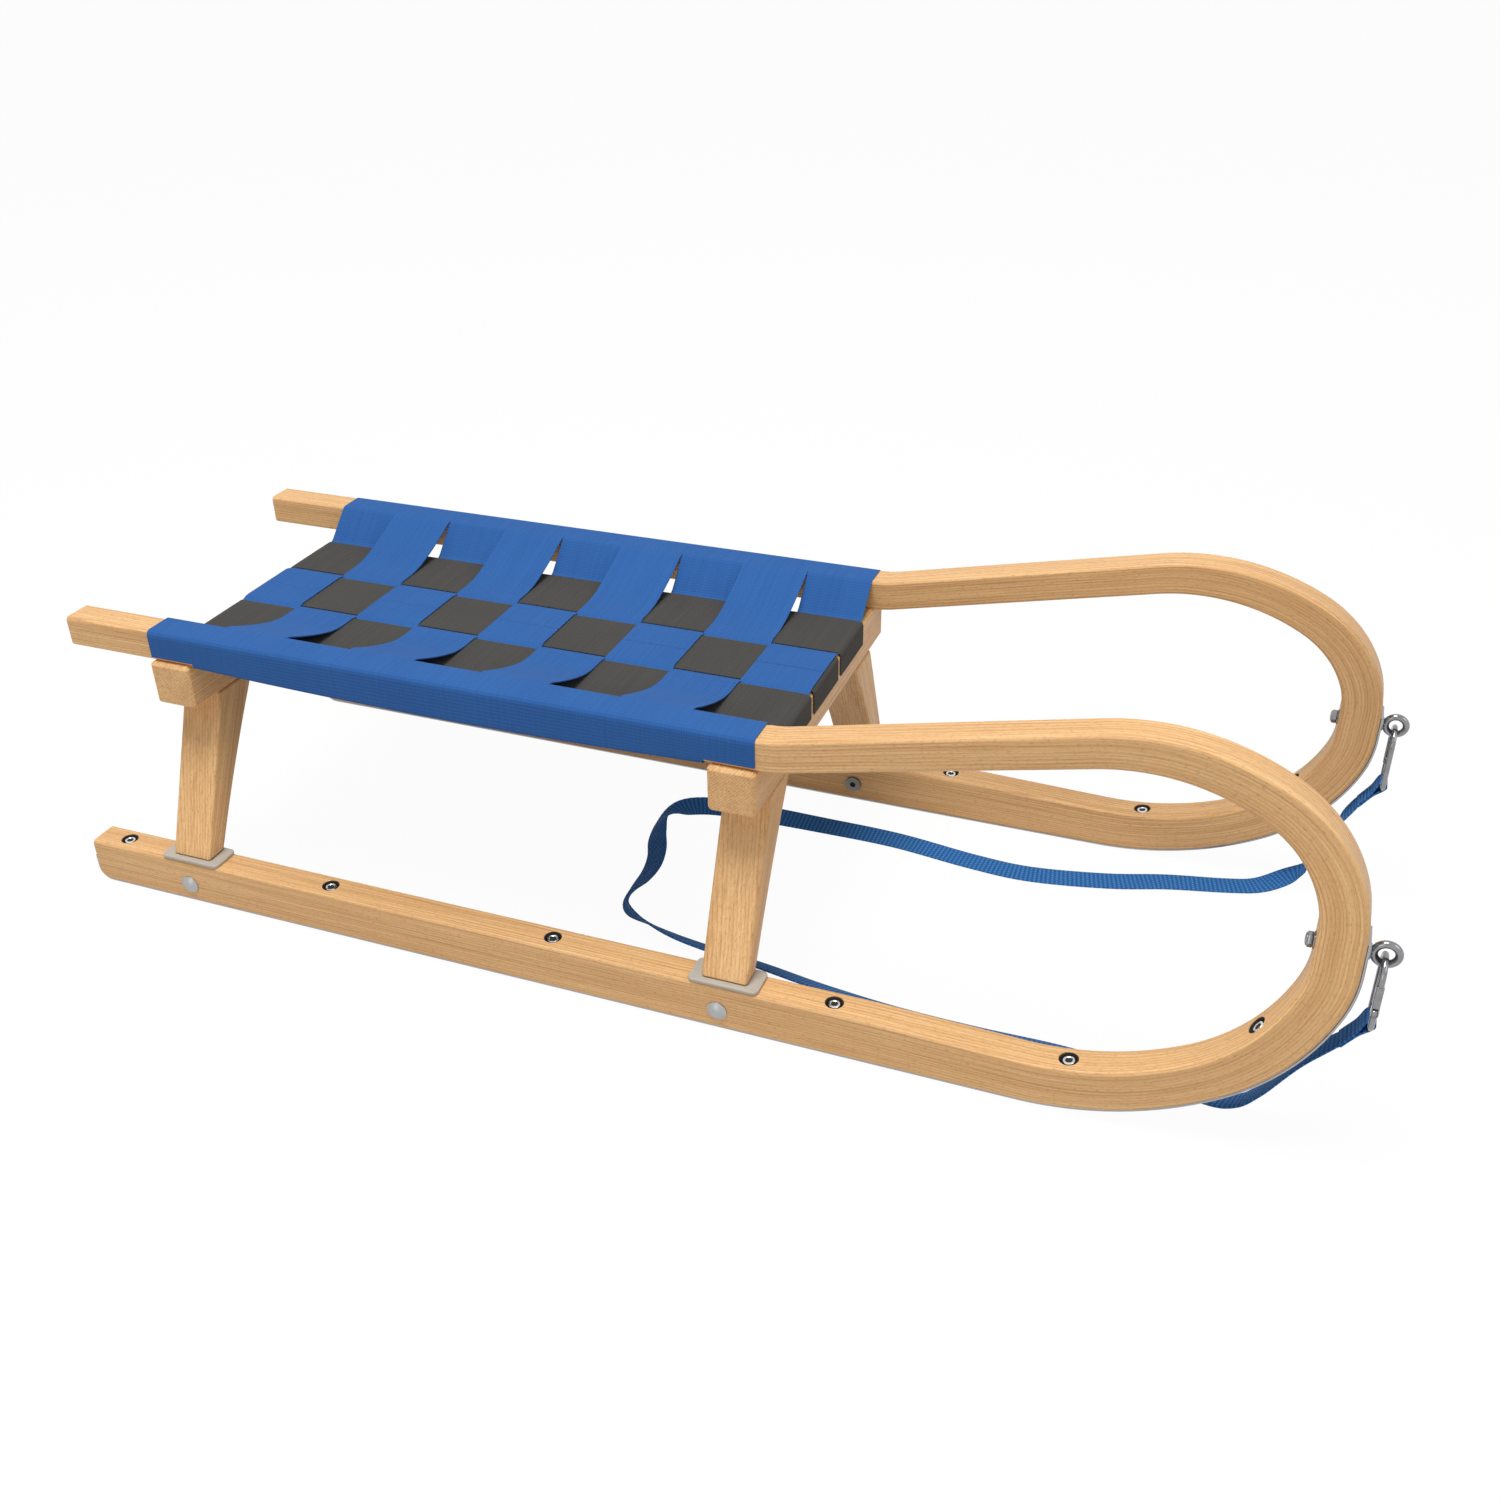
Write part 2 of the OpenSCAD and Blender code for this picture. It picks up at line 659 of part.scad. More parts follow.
// The hook hangs in the ring, and turns about the middle of its top wire.
// Its plane is drawn flat: local X is outwards across the sled, local Y is up.
hook_z = eye_z - ring_r + ring_wire / 2 + cloth_gap + hook_wire / 2;
gate_pin_v = gate_pin_up - hook_h;
hook_foot_v = hook_corner_r - hook_h;
gate_top_v = -hook_r - hook_nose - cloth_gap;
// Gap between a hook's eye and the gate's solid part, and between it and the gate's ears
EYE_END_GAP = 0.5;
EYE_SIDE_GAP = 0.2;
// The gates' pins are pressed into the gates with this play
PIN_PLAY = 0.04;
gate_bottom_v = gate_pin_v + gate_eye_d / 2 + EYE_END_GAP;
stub_top_v = gate_pin_v - gate_eye_d / 2 - cloth_gap;
ear_in = hook_eye_t / 2 + EYE_SIDE_GAP;
// The eye's neck starts this far inside the wire below it
NECK_SINK = 1;

module at_hook() {
    translate([ring_x, eye_y, hook_z]) rotate([90, 0, 90]) children();
}

module wire_bend(u, v, r, from, turn) {
    translate([u, v, 0]) rotate([0, 0, from])
        rotate_extrude(angle = turn) translate([r, 0]) circle(d = hook_wire);
}

module wire_up(u, v, length) {
    translate([u, v, 0]) rotate([-90, 0, 0]) cylinder(d = hook_wire, h = length);
}

module hook() {
    foot_u = hook_r - hook_corner_r;
    at_hook() {
        wire_bend(0, -hook_r, hook_r, 0, 180);
        wire_up(-hook_r, hook_foot_v, -hook_r - hook_foot_v);
        wire_bend(-foot_u, hook_foot_v, hook_corner_r, 180, 90);
        translate([-foot_u, -hook_h, 0]) rotate([0, 90, 0]) cylinder(d = hook_wire, h = 2 * foot_u);
        wire_bend(foot_u, hook_foot_v, hook_corner_r, 270, 90);
        wire_up(hook_r, hook_foot_v, stub_top_v - hook_foot_v);
        wire_up(hook_r, -hook_r - hook_nose, hook_nose);
        difference() {
            union() {
                translate([hook_r, (gate_pin_v + stub_top_v - NECK_SINK) / 2, 0])
                    cube([gate_t, gate_pin_v - stub_top_v + NECK_SINK, hook_eye_t], center = true);
                translate([hook_r, gate_pin_v, 0])
                    cylinder(d = gate_eye_d, h = hook_eye_t, center = true);
            }
            translate([hook_r, gate_pin_v, 0])
                cylinder(d = gate_pin_d + 2 * pin_gap, h = hook_eye_t + 2 * CUT, center = true);
        }
    }
}

module hook_gate() {
    at_hook() difference() {
        union() {
            translate([hook_r, (gate_top_v + gate_bottom_v) / 2, 0])
                cube([gate_t, gate_top_v - gate_bottom_v, gate_w], center = true);
            for (side = [-1, 1]) translate([hook_r, 0, side * (ear_in + gate_w / 2) / 2]) {
                translate([0, gate_pin_v, 0])
                    cylinder(d = gate_eye_d, h = gate_w / 2 - ear_in, center = true);
                translate([0, (gate_pin_v + gate_bottom_v + NECK_SINK) / 2, 0])
                    cube([gate_t, gate_bottom_v - gate_pin_v + NECK_SINK, gate_w / 2 - ear_in],
                        center = true);
            }
        }
        translate([hook_r, gate_pin_v, 0])
            cylinder(d = gate_pin_d + PIN_PLAY, h = gate_w + 2 * CUT, center = true);
    }
}

module gate_pin() {
    at_hook() translate([hook_r, gate_pin_v, 0])
        cylinder(d = gate_pin_d, h = gate_w, center = true);
}

// Outline of a ribbon of thickness t along a row of points, with sharp turns
function left_of(v) = [-v[1], v[0]];
function miter(p, i) =
    let (n = len(p))
    let (a = left_of(unit(p[min(i + 1, n - 1)] - p[min(i, n - 2)])))
    let (b = left_of(unit(p[max(i, 1)] - p[max(i - 1, 0)])))
    2 * (a + b) / ((a + b) * (a + b));
function ribbon(p, t) = concat(
    [for (i = [0 : len(p) - 1]) p[i] + miter(p, i) * t / 2],
    [for (i = [len(p) - 1 : -1 : 0]) p[i] - miter(p, i) * t / 2]);

// The seat: heights of the fabric's middle under and over the webbing
under_z = beam_top + cloth_gap + fabric_t / 2;
webbing_z = under_z + fabric_t / 2 + cloth_gap + webbing_t / 2;
over_z = webbing_z + webbing_t / 2 + cloth_gap + fabric_t / 2;
wrap_off = joint_gap + fabric_t / 2;
wrap_top = seat_height + wrap_off;
wrap_out_y = rail_y + board_w / 2 + wrap_off;
wrap_in_y = rail_y - board_w / 2 - wrap_off;
webbing_out = webbing_pitch + webbing_w / 2;
cross_out = webbing_pitch - webbing_w / 2;
cross_in = webbing_w / 2;

// The fabric round a rail, from its inner top edge outwards and down
wrap_over = [[wrap_in_y + 2, wrap_top], [wrap_out_y - board_bevel, wrap_top],
    [wrap_out_y, wrap_top - board_bevel]];
wrap_long = concat(wrap_over, [[wrap_out_y, beam_top - wrap_off + board_bevel],
    [wrap_out_y - board_bevel, beam_top - wrap_off],
    [wrap_out_y - fabric_lap, beam_top - wrap_off]]);
wrap_short = concat(wrap_over, [[wrap_out_y, beam_top + fabric_lift]]);

// An upper strip leaves the rail level and sinks to the webbing: its shares of way and drop
RAMP = [[0.05, 0.04], [0.2, 0.25], [0.52, 0.64], [0.8, 0.91], [1, 1]];
// It meets the webbing this far inside the middle of the outer strap
RAMP_PAST = 12;
// The strips turn this far outside the webbing's edges
TURN_CLEAR = 3;

// Half of a strip, from inside the wrap on the rail to the middle of the seat
strip_root = [rail_y, wrap_top];
strip_edge = [wrap_in_y + board_bevel, wrap_top];
under_half = [strip_root, strip_edge, [wrap_in_y, wrap_top - board_bevel],
    [webbing_out + TURN_CLEAR, under_z], [cross_out, under_z], [cross_in, over_z]];
ramp_in = webbing_pitch - RAMP_PAST - wrap_in_y;
over_half = concat([strip_root, strip_edge],
    [for (s = RAMP) [wrap_in_y + s[0] * ramp_in, wrap_top - s[1] * (wrap_top - over_z)]],
    [[cross_out, over_z], [cross_in, under_z]]);
function whole(half) = concat(half, [for (i = [len(half) - 1 : -1 : 0]) [-half[i][0], half[i][1]]]);

module slit_cloth() {
    seat_l = seat_front_x - seat_rear_x;
    strip_l = seat_l / strip_count;
    // The lap's ends stand clear of the beams by this much
    clear = 4;
    between = leg_spacing - beam_w - 2 * clear;
    difference() {
        union() {
            for (left = [true, false]) on_side(left) {
                extrude_x(seat_rear_x, seat_l) polygon(ribbon(wrap_short, fabric_t));
                extrude_x(rear_leg_x + beam_w / 2 + clear, between)
                    polygon(ribbon(wrap_long, fabric_t));
            }
            for (i = [0 : strip_count - 1])
                extrude_x(seat_rear_x + i * strip_l + (i > 0 ? slit_w / 2 : 0),
                          strip_l - (i > 0 && i < strip_count - 1 ? slit_w : slit_w / 2))
                    polygon(ribbon(whole(i % 2 == 0 ? under_half : over_half), fabric_t * 0.9));
        }
        for (left = [true, false]) on_side(left)
            for (x = staple_xs) staple_legs(x, joint_gap / 2);
    }
}

// The webbing turns over the beams' edges with a corner cut off by this much
WEBBING_CORNER = 0.6;
webbing_rear_x = seat_rear_x - cloth_gap - webbing_t / 2;
webbing_front_x = seat_front_x + cloth_gap + webbing_t / 2;
webbing_path = [
    [webbing_rear_x, beam_top - webbing_drop],
    [webbing_rear_x, webbing_z - WEBBING_CORNER],
    [webbing_rear_x + WEBBING_CORNER, webbing_z],
    [webbing_front_x - WEBBING_CORNER, webbing_z],
    [webbing_front_x, webbing_z - WEBBING_CORNER],
    [webbing_front_x, beam_top - webbing_drop]];

module seat_strap(row) {
    extrude_y(row * webbing_pitch, webbing_w) polygon(ribbon(webbing_path, webbing_t));
}

// The strap's loop goes round the hook's bottom wire, and its tail leads back and down
loop_dir = unit([-0.57, -0.82]);
bar_z = hook_z - hook_h;
loop_in_r = hook_wire / 2 + cloth_gap;
loop_out_r = loop_in_r + 0.93 * tow_t;
// Gap between a loop's tail and the strap that goes on from it
LOOP_GAP = 0.4;

module strap_loop() {
    translate([ring_x, eye_y, bar_z]) rotate([90, 0, 0]) difference() {
        union() {
            cylinder(r = loop_out_r, h = loop_w, center = true);
            linear_extrude(loop_w, center = true)
                polygon(ribbon([loop_dir * (loop_in_r + tow_t / 2), loop_dir * loop_len],
                    2 * tow_t));
        }
        cylinder(r = loop_in_r, h = loop_w + 2 * CUT, center = true);
    }
}

// Route of the tow strap on the ground, from the left hook to the right one:
// place along, across and up, then the tilt of the band in degrees and its width.
// Under the hooks its height is a share of the height that it hangs from.
tow_start = [ring_x, bar_z] + loop_dir * (loop_len + LOOP_GAP);
hang_h = tow_start[1];
tow_route = concat([[tow_start[0], eye_y, tow_start[1], 0, loop_w]], [
    [523, 165, 0.77 * hang_h, 0, 21],
    [514, 168, 0.46 * hang_h, 0, tow_w],
    [505, 172, 0.2 * hang_h, 0, tow_w],
    [490, 170, 7, 0, tow_w],
    [467, 153, 2.5, 0, tow_w],
    [440, 143, 2, 0, tow_w],
    [386, 130, 2, -2, tow_w],
    [334, 113, 2, -3, tow_w],
    [265, 100, 2, -3, tow_w],
    [209, 102, 2, -3, tow_w],
    [131, 112, 2.2, -5, tow_w],
    [54, 112, 3, -8, tow_w],
    [-10, 110, 4, -14, tow_w],
    [-55, 104, 6, -18, tow_w],
    [-82, 88, 8.5, -12, tow_w],
    [-93, 62, 9.5, 45, tow_w],
    [-86, 32, 9.5, 35, tow_w],
    [-75, 6, 9.5, 31, tow_w],
    [-69, -20, 9.5, 28, tow_w],
    [-69, -46, 9.5, 34, tow_w],
    [-70, -70, 10.4, 60, tow_w],
    [-60, -88, 11.6, 101, tow_w],
    [-38, -98, 9.8, 131, tow_w],
    [-8, -106, 7.8, 146, tow_w],
    [30, -112, 7, 151, tow_w],
    [80, -118, 6.5, 152, tow_w],
    [134, -127, 6.5, 152, tow_w],
    [200, -134, 6.5, 152, tow_w],
    [268, -136, 6.5, 152, tow_w],
    [340, -135, 6.5, 152, tow_w],
    [410, -142, 6.2, 155, tow_w],
    [455, -153, 7, 164, tow_w],
    [477, -157, 0.158 * hang_h, 172, tow_w],
    [491, -159, 0.336 * hang_h, 178, tow_w],
    [505, -161, 0.572 * hang_h, 180, tow_w],
    [521, -164, 0.829 * hang_h, 180, 21]],
    [[tow_start[0], -eye_y, tow_start[1], 180, loop_w]]);

// Smooth curve through the route, with this many rings for each point of it
TOW_RINGS = 2;
function glide(a, b, c, d, t) = 0.5 * (2 * b + (c - a) * t + (2 * a - 5 * b + 4 * c - d) * t * t
    + (3 * b - a - 3 * c + d) * t * t * t);
function route_point(route, i) = route[max(0, min(len(route) - 1, i))];
tow_line = concat(
    [for (i = [0 : len(tow_route) - 2], k = [0 : TOW_RINGS - 1])
        glide(route_point(tow_route, i - 1), tow_route[i], tow_route[i + 1],
            route_point(tow_route, i + 2), k / TOW_RINGS)],
    [last(tow_route)]);

function place(p) = [p[0], p[1], p[2]];
function tow_dir(i) = unit(place(tow_line[min(i + 1, len(tow_line) - 1)])
    - place(tow_line[max(i - 1, 0)]));
function tow_ring(i) =
    let (p = tow_line[i])
    let (dir = i == 0 ? [loop_dir[0], 0, loop_dir[1]] :
        i == len(tow_line) - 1 ? [-loop_dir[0], 0, -loop_dir[1]] : tow_dir(i))
    let (level = unit([-dir[1], dir[0], 0]))
    let (rise = cross(dir, level))
    let (side = cos(p[3]) * level + sin(p[3]) * rise)
    let (face = cos(p[3]) * rise - sin(p[3]) * level)
    [for (q = bevelled(p[4] / 2, tow_t / 2, tow_t / 4)) place(p) + q[0] * side + q[1] * face];

module left_runner() { color(WOOD) bent_board(); }
module right_runner() { color(WOOD) on_side(false) bent_board(); }
module rear_cross_beam() { color(WOOD) cross_beam(rear_leg_x); }
module front_cross_beam() { color(WOOD) cross_beam(front_leg_x); }
module rear_left_leg() { color(WOOD) leg(rear_leg_x); }
module rear_right_leg() { color(WOOD) on_side(false) leg(rear_leg_x); }
module front_left_leg() { color(WOOD) leg(front_leg_x); }
module front_right_leg() { color(WOOD) on_side(false) leg(front_leg_x); }
module rear_left_collar() { color("linen") collar(rear_leg_x); }
module rear_right_collar() { color("linen") on_side(false) collar(rear_leg_x); }
module front_left_collar() { color("linen") collar(front_leg_x); }
module front_right_collar() { color("linen") on_side(false) collar(front_leg_x); }
module left_skid() { color(GREY_STEEL) skid(); }
module right_skid() { color(GREY_STEEL) on_side(false) skid(); }
module skid_screws() { for (s = screw_sections) skid_screw(s, 0); }
module left_skid_screws() { color(STEEL) skid_screws(); }
module right_skid_screws() { color(STEEL) on_side(false) skid_screws(); }
module skid_nuts() { for (s = screw_sections) skid_nut(s); }
module left_skid_nuts() { color(STEEL) skid_nuts(); }
module right_skid_nuts() { color(STEEL) on_side(false) skid_nuts(); }
module leg_bolts() { for (x = [rear_leg_x, front_leg_x]) leg_bolt(x); }
module left_leg_bolts() { color(STEEL) leg_bolts(); }
module right_leg_bolts() { color(STEEL) on_side(false) leg_bolts(); }
module leg_nuts() { for (x = [rear_leg_x, front_leg_x]) leg_nut(x); }
module left_leg_nuts() { color(STEEL) leg_nuts(); }
module right_leg_nuts() { color(STEEL) on_side(false) leg_nuts(); }
module rail_screws() { for (x = [rear_leg_x, front_leg_x]) rail_screw(x, 0); }
module left_rail_screws() { color(STEEL) rail_screws(); }
module right_rail_screws() { color(STEEL) on_side(false) rail_screws(); }
module left_eyebolt() { color(STEEL) eyebolt(); }
module right_eyebolt() { color(STEEL) on_side(false) eyebolt(); }
module left_eyebolt_washer() { color(STEEL) eyebolt_washer(); }
module right_eyebolt_washer() { color(STEEL) on_side(false) eyebolt_washer(); }
module left_eyebolt_nut() { color(STEEL) eyebolt_nut(); }
module right_eyebolt_nut() { color(STEEL) on_side(false) eyebolt_nut(); }
module left_hook() { color(STEEL) hook(); }
module right_hook() { color(STEEL) on_side(false) hook(); }
module left_hook_gate() { color(STEEL) hook_gate(); }
module right_hook_gate() { color(STEEL) on_side(false) hook_gate(); }
module left_gate_pin() { color(STEEL) gate_pin(); }
module right_gate_pin() { color(STEEL) on_side(false) gate_pin(); }
module seat_fabric() { color("royalblue") slit_cloth(); }
module seat_strap_left() { color("dimgray") seat_strap(1); }
module seat_strap_middle() { color("dimgray") seat_strap(0); }
module seat_strap_right() { color("dimgray") seat_strap(-1); }
module rail_staples() { for (x = staple_xs) staple(x); }
module fabric_staples() {
    color(STEEL) for (left = [true, false]) on_side(left) rail_staples();
}
module tow_strap() { color("navy") loft([for (i = [0 : len(tow_line) - 1]) tow_ring(i)]); }
module left_strap_loop() { color("navy") strap_loop(); }
module right_strap_loop() { color("navy") on_side(false) strap_loop(); }

left_runner();
right_runner();
rear_cross_beam();
front_cross_beam();
rear_left_leg();
rear_right_leg();
front_left_leg();
front_right_leg();
rear_left_collar();
rear_right_collar();
front_left_collar();
front_right_collar();
left_skid();
right_skid();
left_skid_screws();
right_skid_screws();
left_skid_nuts();
right_skid_nuts();
left_leg_bolts();
right_leg_bolts();
left_leg_nuts();
right_leg_nuts();
left_rail_screws();
right_rail_screws();
left_eyebolt();
right_eyebolt();
left_eyebolt_washer();
right_eyebolt_washer();
left_eyebolt_nut();
right_eyebolt_nut();
left_hook();
right_hook();
left_hook_gate();
right_hook_gate();
left_gate_pin();
right_gate_pin();
seat_fabric();
seat_strap_left();
seat_strap_middle();
seat_strap_right();
fabric_staples();
tow_strap();
left_strap_loop();
right_strap_loop();
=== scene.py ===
import bmesh
import bpy
import math
from collections import namedtuple
from mathutils import Matrix, Vector


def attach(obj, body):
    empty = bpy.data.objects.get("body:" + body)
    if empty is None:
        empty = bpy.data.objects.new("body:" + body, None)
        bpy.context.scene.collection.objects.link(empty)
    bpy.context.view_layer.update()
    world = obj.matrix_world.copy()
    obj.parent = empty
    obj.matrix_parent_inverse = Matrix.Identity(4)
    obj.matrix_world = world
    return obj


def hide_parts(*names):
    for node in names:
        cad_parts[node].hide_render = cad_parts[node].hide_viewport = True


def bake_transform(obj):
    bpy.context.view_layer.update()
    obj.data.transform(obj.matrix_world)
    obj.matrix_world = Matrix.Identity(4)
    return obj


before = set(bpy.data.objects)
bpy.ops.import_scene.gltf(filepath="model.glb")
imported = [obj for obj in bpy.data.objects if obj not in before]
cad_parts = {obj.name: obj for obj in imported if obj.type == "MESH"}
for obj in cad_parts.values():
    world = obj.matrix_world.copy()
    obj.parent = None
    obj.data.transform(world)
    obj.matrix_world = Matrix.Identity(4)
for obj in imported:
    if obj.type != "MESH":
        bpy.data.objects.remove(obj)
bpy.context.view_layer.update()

MM = 0.001
WHITE = (1, 1, 1, 1)

# Sizes of the sled in millimetres: x runs forwards, y to the left and z up from the floor
REAR_X = -560.25  # rear of the runners' heels
FRONT_X = 539.75  # front of the skids at the nose
RAIL_INSET = 4  # the rails' ends stand in front of the heels by this much
SEAT_TOP = 260.0  # top of the rails
RAIL_T = 27.5  # thickness of a rail
BOARD_W = 28.5  # width of a bent board
RAIL_Y = 150.25  # middle of a rail
RUNNER_Y = 184.75  # middle of a runner
REAR_LEG_X = -448.75
FRONT_LEG_X = 73.75
LEG_W = 40.0
BEAM = 40.0  # side of a cross beam
BEAM_TOP = SEAT_TOP - RAIL_T
BEAM_BOTTOM = BEAM_TOP - BEAM
SEAT_REAR = REAR_LEG_X - BEAM / 2
SEAT_FRONT = FRONT_LEG_X + BEAM / 2
SKID_T = 2.0
SKID_W = 24.0
RUNNER_T = 42.25
TOE_T = 38.5  # thickness of the runner where it starts to bend up
NOSE_T = 33  # thickness of the board at the nose
RUNNER_Z = SKID_T + RUNNER_T / 2
RUNNER_TOP = SKID_T + RUNNER_T
TOE_Z = SKID_T + TOE_T / 2
NOSE_X = FRONT_X - SKID_T - NOSE_T / 2
HEEL_R = 12.0  # radius under the heel
COLLAR_T = 3.25
BORE_R = 7.75  # counterbores of the skid screws
BORE_DEPTH = 5.5
BOLT_BACK = 4.5  # the leg bolts sit behind the legs' middles by this much
BOLT_Z = 20.0
RING_X = 551.25  # middle of a tow ring
RING_R = 8.2  # radius to the middle of its wire
RING_WIRE = 5.6
HOOK_WIRE = 4.5
HOOK_R = 13.0  # half the hook's width, to the middle of its wire
HOOK_H = 54.0


# Small tools

def sin(degrees):
    """Sine of an angle in degrees."""
    return math.sin(math.radians(degrees))


def cos(degrees):
    """Cosine of an angle in degrees."""
    return math.cos(math.radians(degrees))


def only(*objs):
    """Select these objects alone, with the first one active."""
    bpy.ops.object.select_all(action="DESELECT")
    for obj in objs:
        obj.select_set(True)
    bpy.context.view_layer.objects.active = objs[0]


def settle(obj):
    """Keep a piece's place in its mesh, with its object at the origin."""
    only(obj)
    bpy.ops.object.transform_apply(location=True, rotation=True, scale=True)
    return obj


def take(name):
    """Name the object that an operator has just made, and settle it."""
    obj = bpy.context.object
    obj.name = obj.data.name = name
    return settle(obj)


def finish_modifiers(obj):
    """Apply all modifiers of a piece."""
    only(obj)
    for modifier in list(obj.modifiers):
        bpy.ops.object.modifier_apply(modifier=modifier.name)
    return obj


class Editing:
    """Edit mode on one piece, with a way to pick its parts by their place."""

    def __init__(self, obj, mode="FACE"):
        self.obj, self.mode = obj, mode

    def __enter__(self):
        only(self.obj)
        bpy.ops.object.mode_set(mode="EDIT")
        bpy.ops.mesh.select_mode(type=self.mode)
        bpy.ops.mesh.select_all(action="DESELECT")
        return self

    def __exit__(self, *_):
        bpy.ops.object.mode_set(mode="OBJECT")

    def pick(self, test):
        """Select only the parts that pass a test."""
        bpy.ops.mesh.select_all(action="DESELECT")
        mesh = bmesh.from_edit_mesh(self.obj.data)
        parts = {"EDGE": mesh.edges, "FACE": mesh.faces}[self.mode]
        for part in parts:
            if test(part):
                part.select_set(True)
        mesh.select_flush_mode()
        bmesh.update_edit_mesh(self.obj.data)


def face_outwards():
    """Turn all faces of the piece in edit mode outwards."""
    bpy.ops.mesh.select_all(action="SELECT")
    bpy.ops.mesh.normals_make_consistent(inside=False)


def round_edges(obj, width, segments=2, angle=40):
    """Round the edges that are sharper than an angle."""
    bevel = obj.modifiers.new("edges", "BEVEL")
    bevel.width, bevel.segments = width * MM, segments
    bevel.limit_method, bevel.angle_limit = "ANGLE", math.radians(angle)
    bevel.use_clamp_overlap = True
    return finish_modifiers(obj)


def shade_soft(obj, angle):
    """Smooth shading over edges that are flatter than an angle."""
    only(obj)
    bpy.ops.object.shade_smooth_by_angle(angle=math.radians(angle))
    return obj


def smooth(obj, angle=35):
    """Smooth shading up to an angle, with flat faces kept flat."""
    shade_soft(obj, angle)
    obj.modifiers.new("flats", "WEIGHTED_NORMAL").keep_sharp = True
    return finish_modifiers(obj)


def block(name, low, high):
    """A block between two corners."""
    middle = [(a + b) / 2 * MM for a, b in zip(low, high)]
    bpy.ops.mesh.primitive_cube_add(size=1, location=middle,
                                    scale=[(b - a) * MM for a, b in zip(low, high)])
    return take(name)


def turned(name, profile, sides=48):
    """A disc raised and resized step by step along a profile of (radius, height)."""
    radius, height = profile[0]
    bpy.ops.mesh.primitive_circle_add(vertices=sides, radius=radius * MM, fill_type="NGON",
                                      location=(0, 0, height * MM))
    obj = take(name)
    with Editing(obj):
        bpy.ops.mesh.select_all(action="SELECT")
        for (r0, z0), (r1, z1) in zip(profile, profile[1:]):
            bpy.ops.mesh.extrude_region_move(
                TRANSFORM_OT_translate={"value": (0, 0, (z1 - z0) * MM)})
            bpy.ops.transform.resize(value=(r1 / r0, r1 / r0, 1), center_override=(0, 0, 0))
        face_outwards()
    return obj


def stand(obj, at, up):
    """Move a piece from the origin to a place, with its z axis along up."""
    turn = Vector((0, 0, 1)).rotation_difference(Vector(up)).to_matrix().to_4x4()
    obj.matrix_world = Matrix.Translation(Vector(at) * MM) @ turn
    return settle(obj)


def copied(obj, name):
    """A copy of a piece with its own mesh."""
    twin = obj.copy()
    twin.data = obj.data.copy()
    twin.name = twin.data.name = name
    bpy.context.collection.objects.link(twin)
    return twin


def joined(name, objs):
    """Several pieces as one, with loose parts."""
    only(*objs)
    if len(objs) > 1:
        bpy.ops.object.join()
    return take(name)


def repeated(name, part, stands):
    """One piece of several copies of a part, each at a place and along a direction."""
    copies = [stand(copied(part, name), at, up) for at, up in stands]
    bpy.data.objects.remove(part)
    return joined(name, copies)


def combined(obj, other, operation):
    """One piece with another one cut from it or united with it."""
    boolean = obj.modifiers.new("boolean", "BOOLEAN")
    boolean.operation, boolean.object, boolean.solver = operation, other, "EXACT"
    finish_modifiers(obj)
    bpy.data.objects.remove(other)
    return obj


def new_mesh(name, points, faces):
    """A mesh of points in millimetres."""
    mesh = bpy.data.meshes.new(name)
    mesh.from_pydata([[c * MM for c in point] for point in points], [], faces)
    mesh.update()
    obj = bpy.data.objects.new(name, mesh)
    bpy.context.collection.objects.link(obj)
    return obj


def swept(name, rings):
    """A closed skin over a row of rings of points."""
    count, last = len(rings[0]), len(rings) - 1
    faces = []
    for a in range(0, last * count, count):
        b = a + count
        for j in range(count):
            k = (j + 1) % count
            faces.append((a + j, a + k, b + k, b + j))
    faces.append(tuple(range(count - 1, -1, -1)))
    faces.append(tuple(last * count + j for j in range(count)))
    obj = new_mesh(name, [point for ring in rings for point in ring], faces)
    with Editing(obj):
        face_outwards()
    return obj


def heading(points, i):
    """Direction of a path at one of its points."""
    before, after = points[max(i - 1, 0)], points[min(i + 1, len(points) - 1)]
    return (after - before).normalized()


def reach_along(points):
    """Length of a path up to each of its points."""
    reach = [0.0]
    for a, b in zip(points, points[1:]):
        reach.append(reach[-1] + (b - a).length)
    return reach


def wire(name, path, radius, sides):
    """A round wire along a path in a plane across the sled."""
    path = [Vector(p) for p in path]
    ahead = Vector((1, 0, 0))
    rings = []
    for i, p in enumerate(path):
        side = heading(path, i).cross(ahead)
        turns = [360 * k / sides for k in range(sides)]
        rings.append([p + radius * (cos(t) * side + sin(t) * ahead) for t in turns])
    return swept(name, rings)


def arc(centre, radius, start, end, steps):
    """Flat points on an arc between two angles in degrees."""
    turns = [start + (end - start) * i / steps for i in range(steps + 1)]
    return [(centre[0] + radius * cos(t), centre[1] + radius * sin(t)) for t in turns]


def rounded(points, radius, steps=5):
    """A row of flat points with its corners rounded."""
    points = [Vector(p) for p in points]
    path = [points[0]]
    for a, b, c in zip(points, points[1:], points[2:]):
        r = min(radius, (a - b).length * 0.48, (c - b).length * 0.48)
        start, end = b + (a - b).normalized() * r, b + (c - b).normalized() * r
        for i in range(steps + 1):
            t = i / steps
            path.append(start * (1 - t) ** 2 + b * 2 * t * (1 - t) + end * t * t)
    return path + [points[-1]]


def spaced(path, count):
    """The same path with evenly spaced points."""
    reach = reach_along(path)
    out, k = [], 0
    for i in range(count):
        want = reach[-1] * i / (count - 1)
        while k < len(path) - 2 and reach[k + 1] < want:
            k += 1
        t = (want - reach[k]) / max(reach[k + 1] - reach[k], 1e-9)
        out.append(path[k].lerp(path[k + 1], min(max(t, 0), 1)))
    return out


